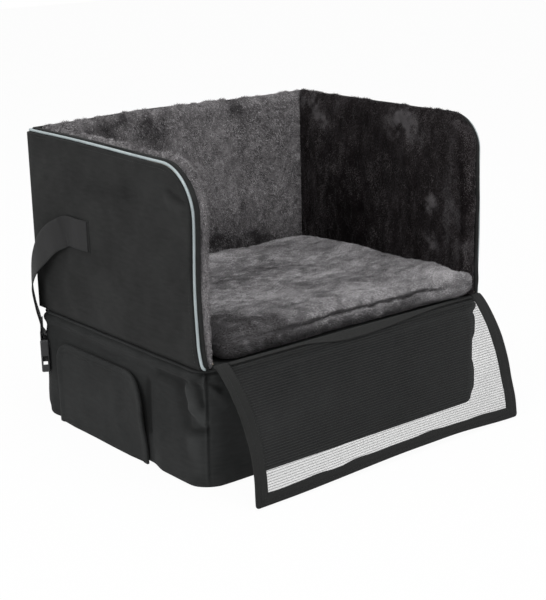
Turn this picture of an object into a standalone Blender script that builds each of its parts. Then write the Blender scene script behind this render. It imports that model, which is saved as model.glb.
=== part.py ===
"""Dog car seat: raised base, three padded walls, loose plush cushion and a net apron in front.

World frame: +X to the right, +Y to the back, +Z up. The origin is the middle of the base's underside.
"""
import math

import bmesh
import bpy
from mathutils import Matrix, Vector

# Overall sizes
SEAT_WIDTH = 0.450
SEAT_HEIGHT = 0.379
BASE_DEPTH = 0.353
BASE_HEIGHT = 0.146
FIT_GAP = 0.0003
MERGE_DISTANCE = 0.00001
SMOOTH_ANGLE = math.radians(35.0)

# Base
BASE_SETBACK = 0.0025
BASE_CORNER_RADIUS = 0.024
BASE_EDGE_RADIUS = 0.006
COVER_SKIN = 0.0022
BOARD_THICKNESS = 0.004
DECK_THICKNESS = 0.0025
RIM_HEIGHT = 0.005
RIM_THICKNESS = 0.0014
RIM_DROP = 0.009
CORNER_STEPS = 7
EDGE_STEPS = 4

# Walls
WALL_THICKNESS = 0.0285
WALL_FRONT_SETBACK = 0.005
WALL_BACK_OVERHANG = 0.0015
WALL_CORNER_RADIUS = 0.057
WALL_REAR_RADIUS = 0.003
PLUSH_REAR_RADIUS = 0.010
WALL_ARC_STEPS = 9
REAR_ARC_STEPS = 4
FRONT_STEPS = 12
FRONT_FLARE = 0.008
FLARE_HEIGHT = 0.030
FRONT_RECESS = 0.004
PIPING_RADIUS = 0.0028
PIPING_SEAT = 0.0052
GUSSET_WIDTH = 0.0080
PLUSH_THICKNESS = 0.008
PLUSH_ROLL = 0.009
PLUSH_OVERHANG = 0.0005
SEAM_ROLL_SHARE = 0.2

# Cushion
CUSHION_SIDE_GAP = 0.0020
CUSHION_OVERHANG = 0.0015
CUSHION_EDGE_HEIGHT = 0.026
CUSHION_CROWN = 0.010
CUSHION_CORNER_RADIUS = 0.024
CUSHION_PULL = 0.0025
CUSHION_SKIN = 0.005
CUSHION_LOWER_ROLL = 0.004
CUSHION_SEAM_DEPTH = 0.0020
CUSHION_SEAM_WIDTH = 0.0030
CUSHION_SEAM_RISE = 0.018
CUSHION_PANEL_THICKNESS = 0.002
CUSHION_SIDE_STEPS = 7
CUSHION_CORNER_STEPS = 5

# Apron: its section is a smooth curve from the header down to the hem
SEAM_STRIP_THICKNESS = 0.0034
SEAM_STRIP_HEIGHT = 0.008
HEADER_RADIUS = 0.004
APRON_SIDE_GAP = 0.0115
APRON_REACH = 0.0675
APRON_HEM_Z = 0.0015
APRON_TOP_PULL = 0.045
APRON_HEM_PULL = 0.050
APRON_TOP_SLOPE = math.radians(36.0)
APRON_HEM_SLOPE = math.radians(84.0)
BINDING_WIDTH = 0.018
BINDING_THICKNESS = 0.0030
BINDING_LAYER = 0.0007
BINDING_FOLD = 0.004
BINDING_CORNER = 0.006
NET_THICKNESS = 0.0010
NET_MARGIN = 0.008
NET_RIB = 0.0018
NET_THREAD = 0.0022
NET_ROWS = 26
NET_COLUMNS = 7
APRON_STEPS = 14
HEM_CORNER_STEPS = 3
NUDGE_SHARE = 0.001

# Side flaps
FLAP_FRONT_Y = -0.062
FLAP_LENGTH = 0.199
FLAP_HEIGHT = 0.1085
FLAP_LIFT = 0.0015
FLAP_FRONT_RADIUS = 0.038
FLAP_REAR_RADIUS = 0.030
FLAP_PANEL_THICKNESS = 0.0020
FLAP_BINDING_WIDTH = 0.008
FLAP_BINDING_THICKNESS = 0.0040
FLAP_BINDING_LAYER = 0.0007
FLAP_BINDING_FOLD = 0.0015
FLAP_ARC_STEPS = 8
GRIP_LENGTH = 0.120
GRIP_WIDTH = 0.025
GRIP_THICKNESS = 0.0010
GRIP_DROP = 0.014

# Straps with buckle halves
STRAP_WIDTH = 0.038
STRAP_THICKNESS = 0.0020
STRAP_Z = 0.2610
SLIT_Y = 0.047
SLIT_WIDTH = 0.0032
SLIT_MARGIN = 0.001
TAB_LENGTH = 0.038
STRAP_BULGE = 0.011
STRAP_STEPS = 5
BAR_HALF = 0.0017
STRAP_TURN_STEPS = 6
STRAP_RETURN = 0.022
BUCKLE_DROP = 0.157
BUCKLE_BACK = 0.0003
BUCKLE_INSET = 0.0032
BUCKLE_TURN = math.radians(60.0)
BUCKLE_WIDTH = 0.047
BUCKLE_DEPTH = 0.011
BUCKLE_ROUND = 0.0018
BUCKLE_RAIL = 0.0030
BAR_WINDOW = 0.0080
SOCKET_LENGTH = 0.030
SOCKET_WALL = 0.0020
SOCKET_WINDOW_LENGTH = 0.012
SOCKET_WINDOW_DROP = 0.010
PLUG_BODY = 0.009
PRONG_LENGTH = 0.025
PRONG_WIDTH = 0.0045
PRONG_BARB = 0.0030
PRONG_THICKNESS = 0.0055
GUIDE_WIDTH = 0.0055
CUT_OVERRUN = 0.004

# Worked out from the sizes above
HALF_WIDTH = SEAT_WIDTH / 2
BASE_HALF_WIDTH = HALF_WIDTH - BASE_SETBACK
BASE_HALF_DEPTH = BASE_DEPTH / 2
APRON_HALF_WIDTH = HALF_WIDTH - APRON_SIDE_GAP
WALL_FRONT_Y = WALL_FRONT_SETBACK - BASE_HALF_DEPTH
WALL_BACK_Y = BASE_HALF_DEPTH + WALL_BACK_OVERHANG
CUSHION_FRONT_Y = -BASE_HALF_DEPTH - CUSHION_OVERHANG
WALL_BOTTOM = BASE_HEIGHT + FIT_GAP
WALL_INNER_X = HALF_WIDTH - WALL_THICKNESS
GUSSET_DEPTH = PIPING_SEAT + GUSSET_WIDTH
POCKET_INSET = PIPING_SEAT + COVER_SKIN
BOARD_OUTER = COVER_SKIN + FIT_GAP
BOARD_INNER = WALL_THICKNESS - PLUSH_THICKNESS - FIT_GAP
SEAM_FRONT_Y = -BASE_HALF_DEPTH - FIT_GAP - SEAM_STRIP_THICKNESS
HINGE_Y = SEAM_FRONT_Y - FIT_GAP - HEADER_RADIUS
HINGE_Z = BASE_HEIGHT
TAB_MID_X = HALF_WIDTH + FIT_GAP + STRAP_THICKNESS / 2
TAB_END_Y = SLIT_Y + TAB_LENGTH
GRIP_LOOP_X = BASE_HALF_WIDTH + FIT_GAP
GRIP_HOOK_X = GRIP_LOOP_X + GRIP_THICKNESS + FIT_GAP
FLAP_INNER_X = GRIP_HOOK_X + GRIP_THICKNESS + FIT_GAP
FLAP_MID_X = FLAP_INNER_X + FLAP_PANEL_THICKNESS / 2
FLAP_OUTER_X = FLAP_MID_X + FLAP_BINDING_THICKNESS / 2
STRAP_TURN_RADIUS = BAR_HALF * math.sqrt(2) + FIT_GAP + STRAP_THICKNESS / 2
RIGHT_ANGLE = math.pi / 2


# Scene, collections and materials

def clear_scene():
    for item in list(bpy.data.objects):
        bpy.data.objects.remove(item, do_unlink=True)


def new_collection(name):
    collection = bpy.data.collections.new(name)
    bpy.context.scene.collection.children.link(collection)
    return collection


def make_material(name, colour, roughness, metallic=0.0):
    material = bpy.data.materials.new(name)
    material.use_nodes = True
    shader = material.node_tree.nodes["Principled BSDF"]
    shader.inputs["Base Color"].default_value = (*colour, 1.0)
    shader.inputs["Roughness"].default_value = roughness
    shader.inputs["Metallic"].default_value = metallic
    return material


def cover_cloth(name):
    return make_material(name, (0.030, 0.031, 0.030), 0.85)


def plush(name):
    return make_material(name, (0.105, 0.100, 0.102), 0.95)


def reflective_trim(name):
    return make_material(name, (0.46, 0.54, 0.56), 0.45)


def webbing(name):
    return make_material(name, (0.024, 0.024, 0.025), 0.80)


def foam(name):
    return make_material(name, (0.55, 0.54, 0.50), 0.95)


def fibre_board(name):
    return make_material(name, (0.32, 0.26, 0.19), 0.85)


def net_yarn(name):
    return make_material(name, (0.030, 0.032, 0.031), 0.60)


def grip_fabric(name):
    return make_material(name, (0.018, 0.018, 0.018), 0.95)


def moulded_plastic(name):
    return make_material(name, (0.014, 0.014, 0.015), 0.38)


# Mesh building

def add_piece(name, mesh, finish, pivot=None):
    """Link a mesh as a named piece. A pivot is the empty on the axis that carries the piece."""
    piece = bpy.data.objects.new(name, mesh)
    part.objects.link(piece)
    mesh.materials.clear()
    mesh.materials.append(finish(name))
    mesh.shade_smooth()
    mesh.set_sharp_from_angle(angle=SMOOTH_ANGLE)
    if pivot:
        mesh.transform(Matrix.Translation(-pivot.location))
        piece.parent = pivot
    return piece


def loft(name, rings, ring_loop=False):
    """Skin rings of equal point count. Ends are capped unless the rings close into a loop."""
    build = bmesh.new()
    layers = [[build.verts.new(point) for point in ring] for ring in rings]
    count = len(rings[0])
    last = len(layers) if ring_loop else len(layers) - 1
    for index in range(last):
        lower = layers[index]
        upper = layers[(index + 1) % len(layers)]
        for k in range(count):
            step = (k + 1) % count
            build.faces.new((lower[k], lower[step], upper[step], upper[k]))
    if not ring_loop:
        build.faces.new(list(reversed(layers[0])))
        build.faces.new(layers[-1])
    bmesh.ops.remove_doubles(build, verts=build.verts, dist=MERGE_DISTANCE)
    bmesh.ops.recalc_face_normals(build, faces=build.faces)
    mesh = bpy.data.meshes.new(name)
    build.to_mesh(mesh)
    build.free()
    return mesh


def tube_curve(name, points, radius, finish, pivot=None):
    """A round tube along points, as a curve object with a bevel and filled caps."""
    curve = bpy.data.curves.new(name, "CURVE")
    curve.dimensions = "3D"
    curve.bevel_depth = radius
    curve.bevel_resolution = 2
    curve.use_fill_caps = True
    spline = curve.splines.new("POLY")
    spline.points.add(len(points) - 1)
    offset = pivot.location if pivot else Vector((0, 0, 0))
    for spot, point in zip(spline.points, points):
        spot.co = (*(Vector(point) - offset), 1.0)
    tube = bpy.data.objects.new(name, curve)
    part.objects.link(tube)
    curve.materials.append(finish(name))
    if pivot:
        tube.parent = pivot
    return tube


def hinge_empty(name, place):
    empty = bpy.data.objects.new(name, None)
    empty.location = place
    empty.empty_display_size = BASE_CORNER_RADIUS
    part.objects.link(empty)
    return empty


def box_mesh(name, low, high):
    """A box between two corners, from a unit cube."""
    build = bmesh.new()
    bmesh.ops.create_cube(build, size=1.0)
    size = Vector(high) - Vector(low)
    middle = (Vector(high) + Vector(low)) / 2
    bmesh.ops.scale(build, vec=size, verts=build.verts)
    bmesh.ops.translate(build, vec=middle, verts=build.verts)
    mesh = bpy.data.meshes.new(name)
    build.to_mesh(mesh)
    build.free()
    return mesh


def add_cutter(name, low, high, pivot=None):
    cutter = bpy.data.objects.new(name, box_mesh(name, low, high))
    cutters.objects.link(cutter)
    cutter.hide_render = True
    cutter.display_type = "WIRE"
    if pivot:
        cutter.parent = pivot
    return cutter


def add_bevel(piece, width, segments):
    bevel = piece.modifiers.new("rounded_edges", "BEVEL")
    bevel.width = width
    bevel.segments = segments
    bevel.limit_method = "ANGLE"


def add_boolean(piece, other, operation="DIFFERENCE"):
    cut = piece.modifiers.new(other.name, "BOOLEAN")
    cut.operation = operation
    cut.solver = "EXACT"
    cut.object = other


def arc(centre_u, centre_v, radius, start, end, steps):
    """Points on a round corner, from one angle to another."""
    angles = [start + (end - start) * k / steps for k in range(steps + 1)]
    return [(centre_u + radius * math.cos(a), centre_v + radius * math.sin(a)) for a in angles]


def rounded_rectangle(half_x, half_y, radius, corner_steps=CORNER_STEPS, side_steps=1):
    """Outline of a rectangle with round corners, counter-clockwise, with points along its sides."""
    centres = [(1, 1), (-1, 1), (-1, -1), (1, -1)]
    outline = []
    for quarter, (sign_x, sign_y) in enumerate(centres):
        start = quarter * RIGHT_ANGLE
        corner = arc(sign_x * (half_x - radius), sign_y * (half_y - radius), radius,
                     start, start + RIGHT_ANGLE, corner_steps)
        if outline:
            outline += between(outline[-1], corner[0], side_steps)
        outline += corner
    return outline + between(outline[-1], outline[0], side_steps)


def between(first, last, steps):
    """Points that divide a straight run, without its two ends."""
    spread = [k / steps for k in range(1, steps)]
    return [tuple(a + (b - a) * share for a, b in zip(first, last)) for share in spread]


def bezier(shares, a, b, c, d):
    """Points of a cubic curve with ends a and d and handles b and c."""
    points = []
    for t in shares:
        s = 1 - t
        points.append(a * s**3 + b * 3 * s * s * t + c * 3 * s * t * t + d * t**3)
    return points


def smooth_run(stops, steps):
    """A smooth curve through stops, with steps points for each run."""
    padded = [stops[0] * 2 - stops[1], *stops, stops[-1] * 2 - stops[-2]]
    points = []
    for k in range(1, len(padded) - 2):
        before, here, there, after = padded[k - 1:k + 3]
        for step in range(steps):
            t = step / steps
            points.append((here * 2 + (there - before) * t
                           + (before * 2 - here * 5 + there * 4 - after) * t * t
                           + (here * 3 - before - there * 3 + after) * t**3) / 2)
    return points + [stops[-1]]


# Base

def base_ring(inset, z):
    radius = max(BASE_CORNER_RADIUS - inset, BASE_EDGE_RADIUS)
    outline = rounded_rectangle(BASE_HALF_WIDTH - inset, BASE_HALF_DEPTH - inset, radius)
    return [(x, y, z) for x, y in outline]


def build_base():
    floor_inset = BASE_EDGE_RADIUS + FIT_GAP
    board_low = COVER_SKIN + FIT_GAP
    board_high = board_low + BOARD_THICKNESS
    deck_low = BASE_HEIGHT - DECK_THICKNESS
    inside = COVER_SKIN + FIT_GAP
    lower_edge = [base_ring(BASE_EDGE_RADIUS * (1 - math.sin(a)), BASE_EDGE_RADIUS * (1 - math.cos(a)))
                  for a in (RIGHT_ANGLE * k / EDGE_STEPS for k in range(EDGE_STEPS + 1))]
    inner_edge = BASE_EDGE_RADIUS + COVER_SKIN
    shell = [*lower_edge, base_ring(0, BASE_HEIGHT), base_ring(COVER_SKIN, BASE_HEIGHT),
             base_ring(COVER_SKIN, inner_edge), base_ring(floor_inset, COVER_SKIN)]
    add_piece("base_cover", loft("base_cover", shell), cover_cloth)
    board_inset = floor_inset + COVER_SKIN
    board = [base_ring(board_inset, board_low), base_ring(board_inset, board_high)]
    add_piece("base_board", loft("base_board", board), fibre_board)
    block = [base_ring(board_inset, board_high + FIT_GAP),
             base_ring(inside, inner_edge + COVER_SKIN), base_ring(inside, deck_low - FIT_GAP)]
    add_piece("base_foam", loft("base_foam", block), foam)
    deck = [base_ring(inside, deck_low), base_ring(inside, BASE_HEIGHT)]
    add_piece("base_deck", loft("base_deck", deck), cover_cloth)
    rim_low = BASE_HEIGHT - RIM_DROP - RIM_HEIGHT / 2
    rim_high = rim_low + RIM_HEIGHT
    rim_out = -FIT_GAP - RIM_THICKNESS
    rim = [base_ring(-FIT_GAP, rim_low), base_ring(rim_out, rim_low),
           base_ring(rim_out, rim_high), base_ring(-FIT_GAP, rim_high)]
    add_piece("base_rim_binding", loft("base_rim_binding", rim, ring_loop=True), cover_cloth)
    strip_half = WALL_INNER_X - FIT_GAP
    strip_low = rim_high + FIT_GAP
    strip = box_mesh("apron_seam_strip", (-strip_half, SEAM_FRONT_Y, strip_low),
                     (strip_half, SEAM_FRONT_Y + SEAM_STRIP_THICKNESS, strip_low + SEAM_STRIP_HEIGHT))
    piece = add_piece("apron_seam_strip", strip, cover_cloth)
    add_bevel(piece, SEAM_STRIP_THICKNESS / 4, 2)


# Walls: each one is an outer shell, a board and a plush facing, lofted from its outer face inwards

def front_edge(inset):
    """The side wall's front edge from the bottom up to its round corner, as (y, z)."""
    low = WALL_BOTTOM
    high = SEAT_HEIGHT - WALL_CORNER_RADIUS
    points = []
    for k in range(FRONT_STEPS + 1):
        share = (k / FRONT_STEPS) ** 1.5
        rise = (high - low) * share
        flare = FRONT_FLARE * max(0, 1 - rise / FLARE_HEIGHT) ** 2
        recess = FRONT_RECESS * math.sin(math.pi * share) ** 2
        points.append((WALL_FRONT_Y + inset - flare + recess, low + rise))
    return points


def side_wall_outline(edge_inset, seam_inset, depth, rear_radius):
    """The side wall's outline at a depth. Its back end follows the mitre with the back wall."""
    front = front_edge(edge_inset)
    low = WALL_BOTTOM + seam_inset
    front[0] = (front[0][0], low)
    top = SEAT_HEIGHT - edge_inset
    back = WALL_BACK_Y - depth - seam_inset - FIT_GAP
    radius = WALL_CORNER_RADIUS - edge_inset
    front_arc = arc(WALL_FRONT_Y + WALL_CORNER_RADIUS, SEAT_HEIGHT - WALL_CORNER_RADIUS, radius,
                    math.pi, RIGHT_ANGLE, WALL_ARC_STEPS)
    rear_arc = arc(back - rear_radius, top - rear_radius, rear_radius, RIGHT_ANGLE, 0, REAR_ARC_STEPS)
    return front + front_arc[1:] + rear_arc + [(back, low)]


def back_wall_outline(edge_inset, seam_inset, depth, rear_radius):
    """The back wall's outline at a depth, between its two mitres, as (x, z)."""
    half = HALF_WIDTH - depth - seam_inset - FIT_GAP
    low = WALL_BOTTOM + seam_inset
    top = SEAT_HEIGHT - edge_inset
    level = top - rear_radius
    left = arc(rear_radius - half, level, rear_radius, math.pi, RIGHT_ANGLE, REAR_ARC_STEPS)
    right = arc(half - rear_radius, level, rear_radius, RIGHT_ANGLE, 0, REAR_ARC_STEPS)
    return [(-half, low)] + left + right + [(half, low)]


def shell_rings():
    """Depth, edge inset, seam inset and corner radius of the outer shell's rings."""
    return [(0, PIPING_SEAT, FIT_GAP, WALL_REAR_RADIUS),
            (PIPING_SEAT, PIPING_SEAT, FIT_GAP, WALL_REAR_RADIUS),
            (PIPING_SEAT, 0, 0, WALL_REAR_RADIUS),
            (GUSSET_DEPTH, 0, 0, WALL_REAR_RADIUS),
            (GUSSET_DEPTH, POCKET_INSET, COVER_SKIN, WALL_REAR_RADIUS),
            (COVER_SKIN, POCKET_INSET, COVER_SKIN, WALL_REAR_RADIUS)]


def board_rings():
    edge = POCKET_INSET + FIT_GAP
    seam = COVER_SKIN + FIT_GAP
    return [(BOARD_OUTER, edge, seam, WALL_REAR_RADIUS), (BOARD_INNER, edge, seam, WALL_REAR_RADIUS)]


def plush_rings():
    outer = GUSSET_DEPTH + FIT_GAP
    pocket = WALL_THICKNESS - PLUSH_THICKNESS
    rings = [(pocket, POCKET_INSET, COVER_SKIN, WALL_REAR_RADIUS),
             (outer, POCKET_INSET, COVER_SKIN, WALL_REAR_RADIUS),
             (outer, PLUSH_OVERHANG, 0, PLUSH_REAR_RADIUS)]
    for k in range(REAR_ARC_STEPS + 1):
        angle = RIGHT_ANGLE * k / REAR_ARC_STEPS
        inset = PLUSH_ROLL * (1 - math.cos(angle))
        depth = WALL_THICKNESS - PLUSH_ROLL * (1 - math.sin(angle))
        rings.append((depth, inset, inset * SEAM_ROLL_SHARE, PLUSH_REAR_RADIUS))
    return rings


def side_wall_mesh(name, side, rings):
    return loft(name, [[(side * (HALF_WIDTH - depth), y, z)
                        for y, z in side_wall_outline(edge, seam, depth, radius)]
                       for depth, edge, seam, radius in rings])


def back_wall_mesh(name, rings):
    return loft(name, [[(x, WALL_BACK_Y - depth, z)
                        for x, z in back_wall_outline(edge, seam, depth, radius)]
                       for depth, edge, seam, radius in rings])


def build_walls():
    layers = (("cover", shell_rings(), cover_cloth), ("board", board_rings(), fibre_board),
              ("plush", plush_rings(), plush))
    piping_inset = PIPING_SEAT - FIT_GAP - PIPING_RADIUS
    for side, label in SIDES:
        for layer, rings, finish in layers:
            name = f"{label}_wall_{layer}"
            piece = add_piece(name, side_wall_mesh(name, side, rings), finish)
            if layer == "cover":
                cut_strap_slit(piece, side, label)
        outline = side_wall_outline(piping_inset, 0, piping_inset, WALL_REAR_RADIUS)
        run = outline[:FRONT_STEPS + WALL_ARC_STEPS + 2]
        end_y = WALL_BACK_Y - piping_inset - PIPING_RADIUS - FIT_GAP
        run[0] = (run[0][0], WALL_BOTTOM + PIPING_RADIUS)
        run[-1] = (end_y, SEAT_HEIGHT - piping_inset)
        x = side * (HALF_WIDTH - piping_inset)
        tube_curve(f"{label}_wall_piping", [(x, y, z) for y, z in run], PIPING_RADIUS, reflective_trim)
    for layer, rings, finish in layers:
        name = f"back_wall_{layer}"
        add_piece(name, back_wall_mesh(name, rings), finish)
    reach = HALF_WIDTH - piping_inset + PIPING_RADIUS
    level = SEAT_HEIGHT - piping_inset
    ends = [(-reach, WALL_BACK_Y - piping_inset, level), (reach, WALL_BACK_Y - piping_inset, level)]
    tube_curve("back_wall_piping", ends, PIPING_RADIUS, reflective_trim)


def cut_strap_slit(wall, side, label):
    """The slit that lets the strap out through the shell's outer panel."""
    outer = side * (HALF_WIDTH + CUT_OVERRUN)
    inner = side * (HALF_WIDTH - COVER_SKIN - FIT_GAP)
    half = STRAP_WIDTH / 2 + SLIT_MARGIN
    low = (min(outer, inner), SLIT_Y - SLIT_WIDTH / 2, STRAP_Z - half)
    high = (max(outer, inner), SLIT_Y + SLIT_WIDTH / 2, STRAP_Z + half)
    add_boolean(wall, add_cutter(f"{label}_slit_cutter", low, high))


# Cushion: a plush top that is open below, its foam and the panel that closes it

def cushion_ring(inset, z):
    """The cushion's outline, drawn in between its corners."""
    side_gap = WALL_INNER_X - CUSHION_SIDE_GAP
    back_y = WALL_BACK_Y - WALL_THICKNESS - CUSHION_SIDE_GAP
    half_x = side_gap - inset
    half_y = (back_y - CUSHION_FRONT_Y) / 2 - inset
    middle_y = (back_y + CUSHION_FRONT_Y) / 2
    radius = max(CUSHION_CORNER_RADIUS - inset, CUSHION_SKIN)
    ring = []
    for x, y in rounded_rectangle(half_x, half_y, radius, CUSHION_CORNER_STEPS, CUSHION_SIDE_STEPS):
        pull_x = CUSHION_PULL * (1 - (y / half_y) ** 2) * x / half_x
        pull_y = CUSHION_PULL * (1 - (x / half_x) ** 2) * y / half_y
        ring.append((x - pull_x, y - pull_y + middle_y, z))
    return ring


def crown_rings(low, inset_shares, first_inset, drop):
    """Rings of the crowned top from its edge to the middle."""
    half_y = (WALL_BACK_Y - WALL_THICKNESS - CUSHION_FRONT_Y) / 2
    rings = []
    for share in inset_shares:
        inset = first_inset + (half_y - first_inset) * share
        rise = CUSHION_CROWN * math.sin(RIGHT_ANGLE * min(1, inset / half_y))
        rings.append(cushion_ring(inset, low + rise - drop))
    return rings


def build_cushion(pivot):
    low = BASE_HEIGHT + FIT_GAP
    edge = low + CUSHION_EDGE_HEIGHT
    seam = low + CUSHION_SEAM_RISE
    half_seam = CUSHION_SEAM_WIDTH / 2
    shoulder = (edge - seam) / 2
    outer_shares = (0.0, 0.06, 0.15, 0.32, 0.55, 0.85)
    inner_shares = (0.85, 0.45, 0.12, 0.0)
    outer = [cushion_ring(CUSHION_LOWER_ROLL, low),
             cushion_ring(CUSHION_LOWER_ROLL / 4, low + CUSHION_LOWER_ROLL * 3 / 4),
             cushion_ring(0, low + CUSHION_LOWER_ROLL * 2),
             cushion_ring(0, seam - half_seam),
             cushion_ring(CUSHION_SEAM_DEPTH, seam),
             cushion_ring(0, seam + half_seam),
             cushion_ring(shoulder / 2, edge - shoulder / 2)]
    outer += crown_rings(edge, outer_shares, shoulder * 2, 0)
    inner_edge = CUSHION_LOWER_ROLL + CUSHION_SKIN
    inner = crown_rings(edge, inner_shares, inner_edge + CUSHION_SKIN, CUSHION_SKIN)
    inner += [cushion_ring(inner_edge, edge - CUSHION_SKIN * 2), cushion_ring(inner_edge, low)]
    add_piece("cushion_cover", loft("cushion_cover", inner + outer), plush, pivot)
    panel_top = low + CUSHION_PANEL_THICKNESS
    inside = inner_edge + FIT_GAP
    panel = [cushion_ring(inside, low), cushion_ring(inside, panel_top)]
    add_piece("cushion_base_panel", loft("cushion_base_panel", panel), cover_cloth, pivot)
    block = [cushion_ring(inside, panel_top + FIT_GAP),
             cushion_ring(inside, edge - CUSHION_SKIN * 2 - FIT_GAP)]
    block += crown_rings(edge, tuple(reversed(inner_shares)), inside + CUSHION_SKIN,
                         CUSHION_SKIN + FIT_GAP)
    add_piece("cushion_foam", loft("cushion_foam", block), foam, pivot)


# Apron: net, binding and header hang from the hinge line at the base's front edge

def apron_section(share):
    """Point and outward normal of the apron's section, as (y, z) vectors, share 0 at the hinge."""
    start = Vector((HINGE_Y, HINGE_Z))
    end = Vector((HINGE_Y - APRON_REACH, APRON_HEM_Z))
    top_pull = Vector((-math.cos(APRON_TOP_SLOPE), -math.sin(APRON_TOP_SLOPE))) * APRON_TOP_PULL
    hem_pull = Vector((math.cos(APRON_HEM_SLOPE), math.sin(APRON_HEM_SLOPE))) * APRON_HEM_PULL
    handles = (start, start + top_pull, end + hem_pull, end)
    near, point, far = bezier((share - NUDGE_SHARE, share, share + NUDGE_SHARE), *handles)
    along = (far - near).normalized()
    return point, Vector((along.y, -along.x)) * -1


def apron_point(x, share, height):
    point, normal = apron_section(share)
    place = point + normal * height
    return Vector((x, place.x, place.y))


def apron_length(steps=64):
    """Length of the section curve, for turning widths along it into shares."""
    points = [apron_section(k / steps)[0] for k in range(steps + 1)]
    return sum((b - a).length for a, b in zip(points, points[1:]))


def net_bands(low, high, count, solid, margin):
    """Edges of alternate solid and open bands, with a solid margin at both ends."""
    open_width = (high - low - 2 * margin - (count - 1) * solid) / count
    edges = [low, low + margin]
    for k in range(count):
        edges.append(edges[-1] + open_width)
        edges.append(edges[-1] + (solid if k < count - 1 else margin))
    return edges


def build_net(pivot):
    length = apron_length()
    edge = BINDING_FOLD + BINDING_CORNER / 3
    half = APRON_HALF_WIDTH - edge
    margin = BINDING_WIDTH - edge - NET_MARGIN
    columns = net_bands(-half, half, NET_COLUMNS, NET_THREAD, margin)
    rows = net_bands((HEADER_RADIUS + NET_THICKNESS) / length, 1 - edge / length, NET_ROWS,
                     NET_RIB / length, margin / length)
    build = bmesh.new()
    grid = [[build.verts.new(apron_point(x, share, 0)) for x in columns] for share in rows]
    for r in range(len(rows) - 1):
        for c in range(len(columns) - 1):
            if r % 2 == 1 and c % 2 == 1:
                continue
            build.faces.new((grid[r][c], grid[r][c + 1], grid[r + 1][c + 1], grid[r + 1][c]))
    bmesh.ops.recalc_face_normals(build, faces=build.faces)
    mesh = bpy.data.meshes.new("apron_net")
    build.to_mesh(mesh)
    build.free()
    net = add_piece("apron_net", mesh, net_yarn, pivot)
    thickness = net.modifiers.new("net_thickness", "SOLIDIFY")
    thickness.thickness = NET_THICKNESS
    thickness.offset = 0


def fold_section(width, thickness, layer, fold):
    """A strip folded round an edge, as (distance from the outer edge, height) points."""
    top = thickness / 2
    slot = top - layer
    return [(0, -top), (width, -top), (width, -slot), (fold, -slot),
            (fold, slot), (width, slot), (width, top), (0, top)]


def build_binding(pivot):
    """One folded strip down the left edge, along the hem and up the right edge."""
    length = apron_length()
    half = APRON_HALF_WIDTH
    top = (HEADER_RADIUS + NET_THICKNESS) / length
    hem = 1.0
    corner = BINDING_CORNER / length
    inner_x = half - BINDING_WIDTH
    inner_share = hem - BINDING_WIDTH / length
    stations = []
    for k in range(APRON_STEPS + 1):
        share = top + (inner_share - top) * k / APRON_STEPS
        stations.append(((half, share), (inner_x, share)))
    for k in range(HEM_CORNER_STEPS + 1):
        angle = RIGHT_ANGLE * k / HEM_CORNER_STEPS
        x = half - BINDING_CORNER * (1 - math.cos(angle))
        share = hem - corner * (1 - math.sin(angle))
        stations.append(((x, share), (inner_x, inner_share)))
    for k in range(APRON_STEPS // 2):
        x = inner_x * (1 - k / (APRON_STEPS // 2))
        stations.append(((x, hem), (x, inner_share)))
    middle = ((0.0, hem), (0.0, inner_share))
    mirrored = [((-a[0], a[1]), (-b[0], b[1])) for a, b in reversed(stations)]
    section = fold_section(BINDING_WIDTH, BINDING_THICKNESS, BINDING_LAYER, BINDING_FOLD)
    rings = []
    for outer, inner in stations + [middle] + mirrored:
        ring = []
        for distance, height in section:
            share = distance / BINDING_WIDTH
            x = outer[0] + (inner[0] - outer[0]) * share
            along = outer[1] + (inner[1] - outer[1]) * share
            ring.append(apron_point(x, along, height))
        rings.append(ring)
    add_piece("apron_binding", loft("apron_binding", rings), cover_cloth, pivot)


def build_apron(pivot):
    half = APRON_HALF_WIDTH - BINDING_CORNER
    ends = [(-half, HINGE_Y, HINGE_Z), (half, HINGE_Y, HINGE_Z)]
    tube_curve("apron_header", ends, HEADER_RADIUS, cover_cloth, pivot)
    build_net(pivot)
    build_binding(pivot)


# Side flaps and their hook and loop strips

def flap_outline(inset):
    """The flap's free edge from its front foot over the top to its rear foot, as (y, z)."""
    front = FLAP_FRONT_Y + inset
    rear = FLAP_FRONT_Y + FLAP_LENGTH - inset
    top = FLAP_LIFT + FLAP_HEIGHT - inset
    front_radius = FLAP_FRONT_RADIUS - inset
    rear_radius = FLAP_REAR_RADIUS - inset
    front_arc = arc(front + front_radius, top - front_radius, front_radius,
                    math.pi, RIGHT_ANGLE, FLAP_ARC_STEPS)
    rear_arc = arc(rear - rear_radius, top - rear_radius, rear_radius,
                   RIGHT_ANGLE, 0, FLAP_ARC_STEPS)
    return [(front, FLAP_LIFT)] + front_arc + rear_arc + [(rear, FLAP_LIFT)]


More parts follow.
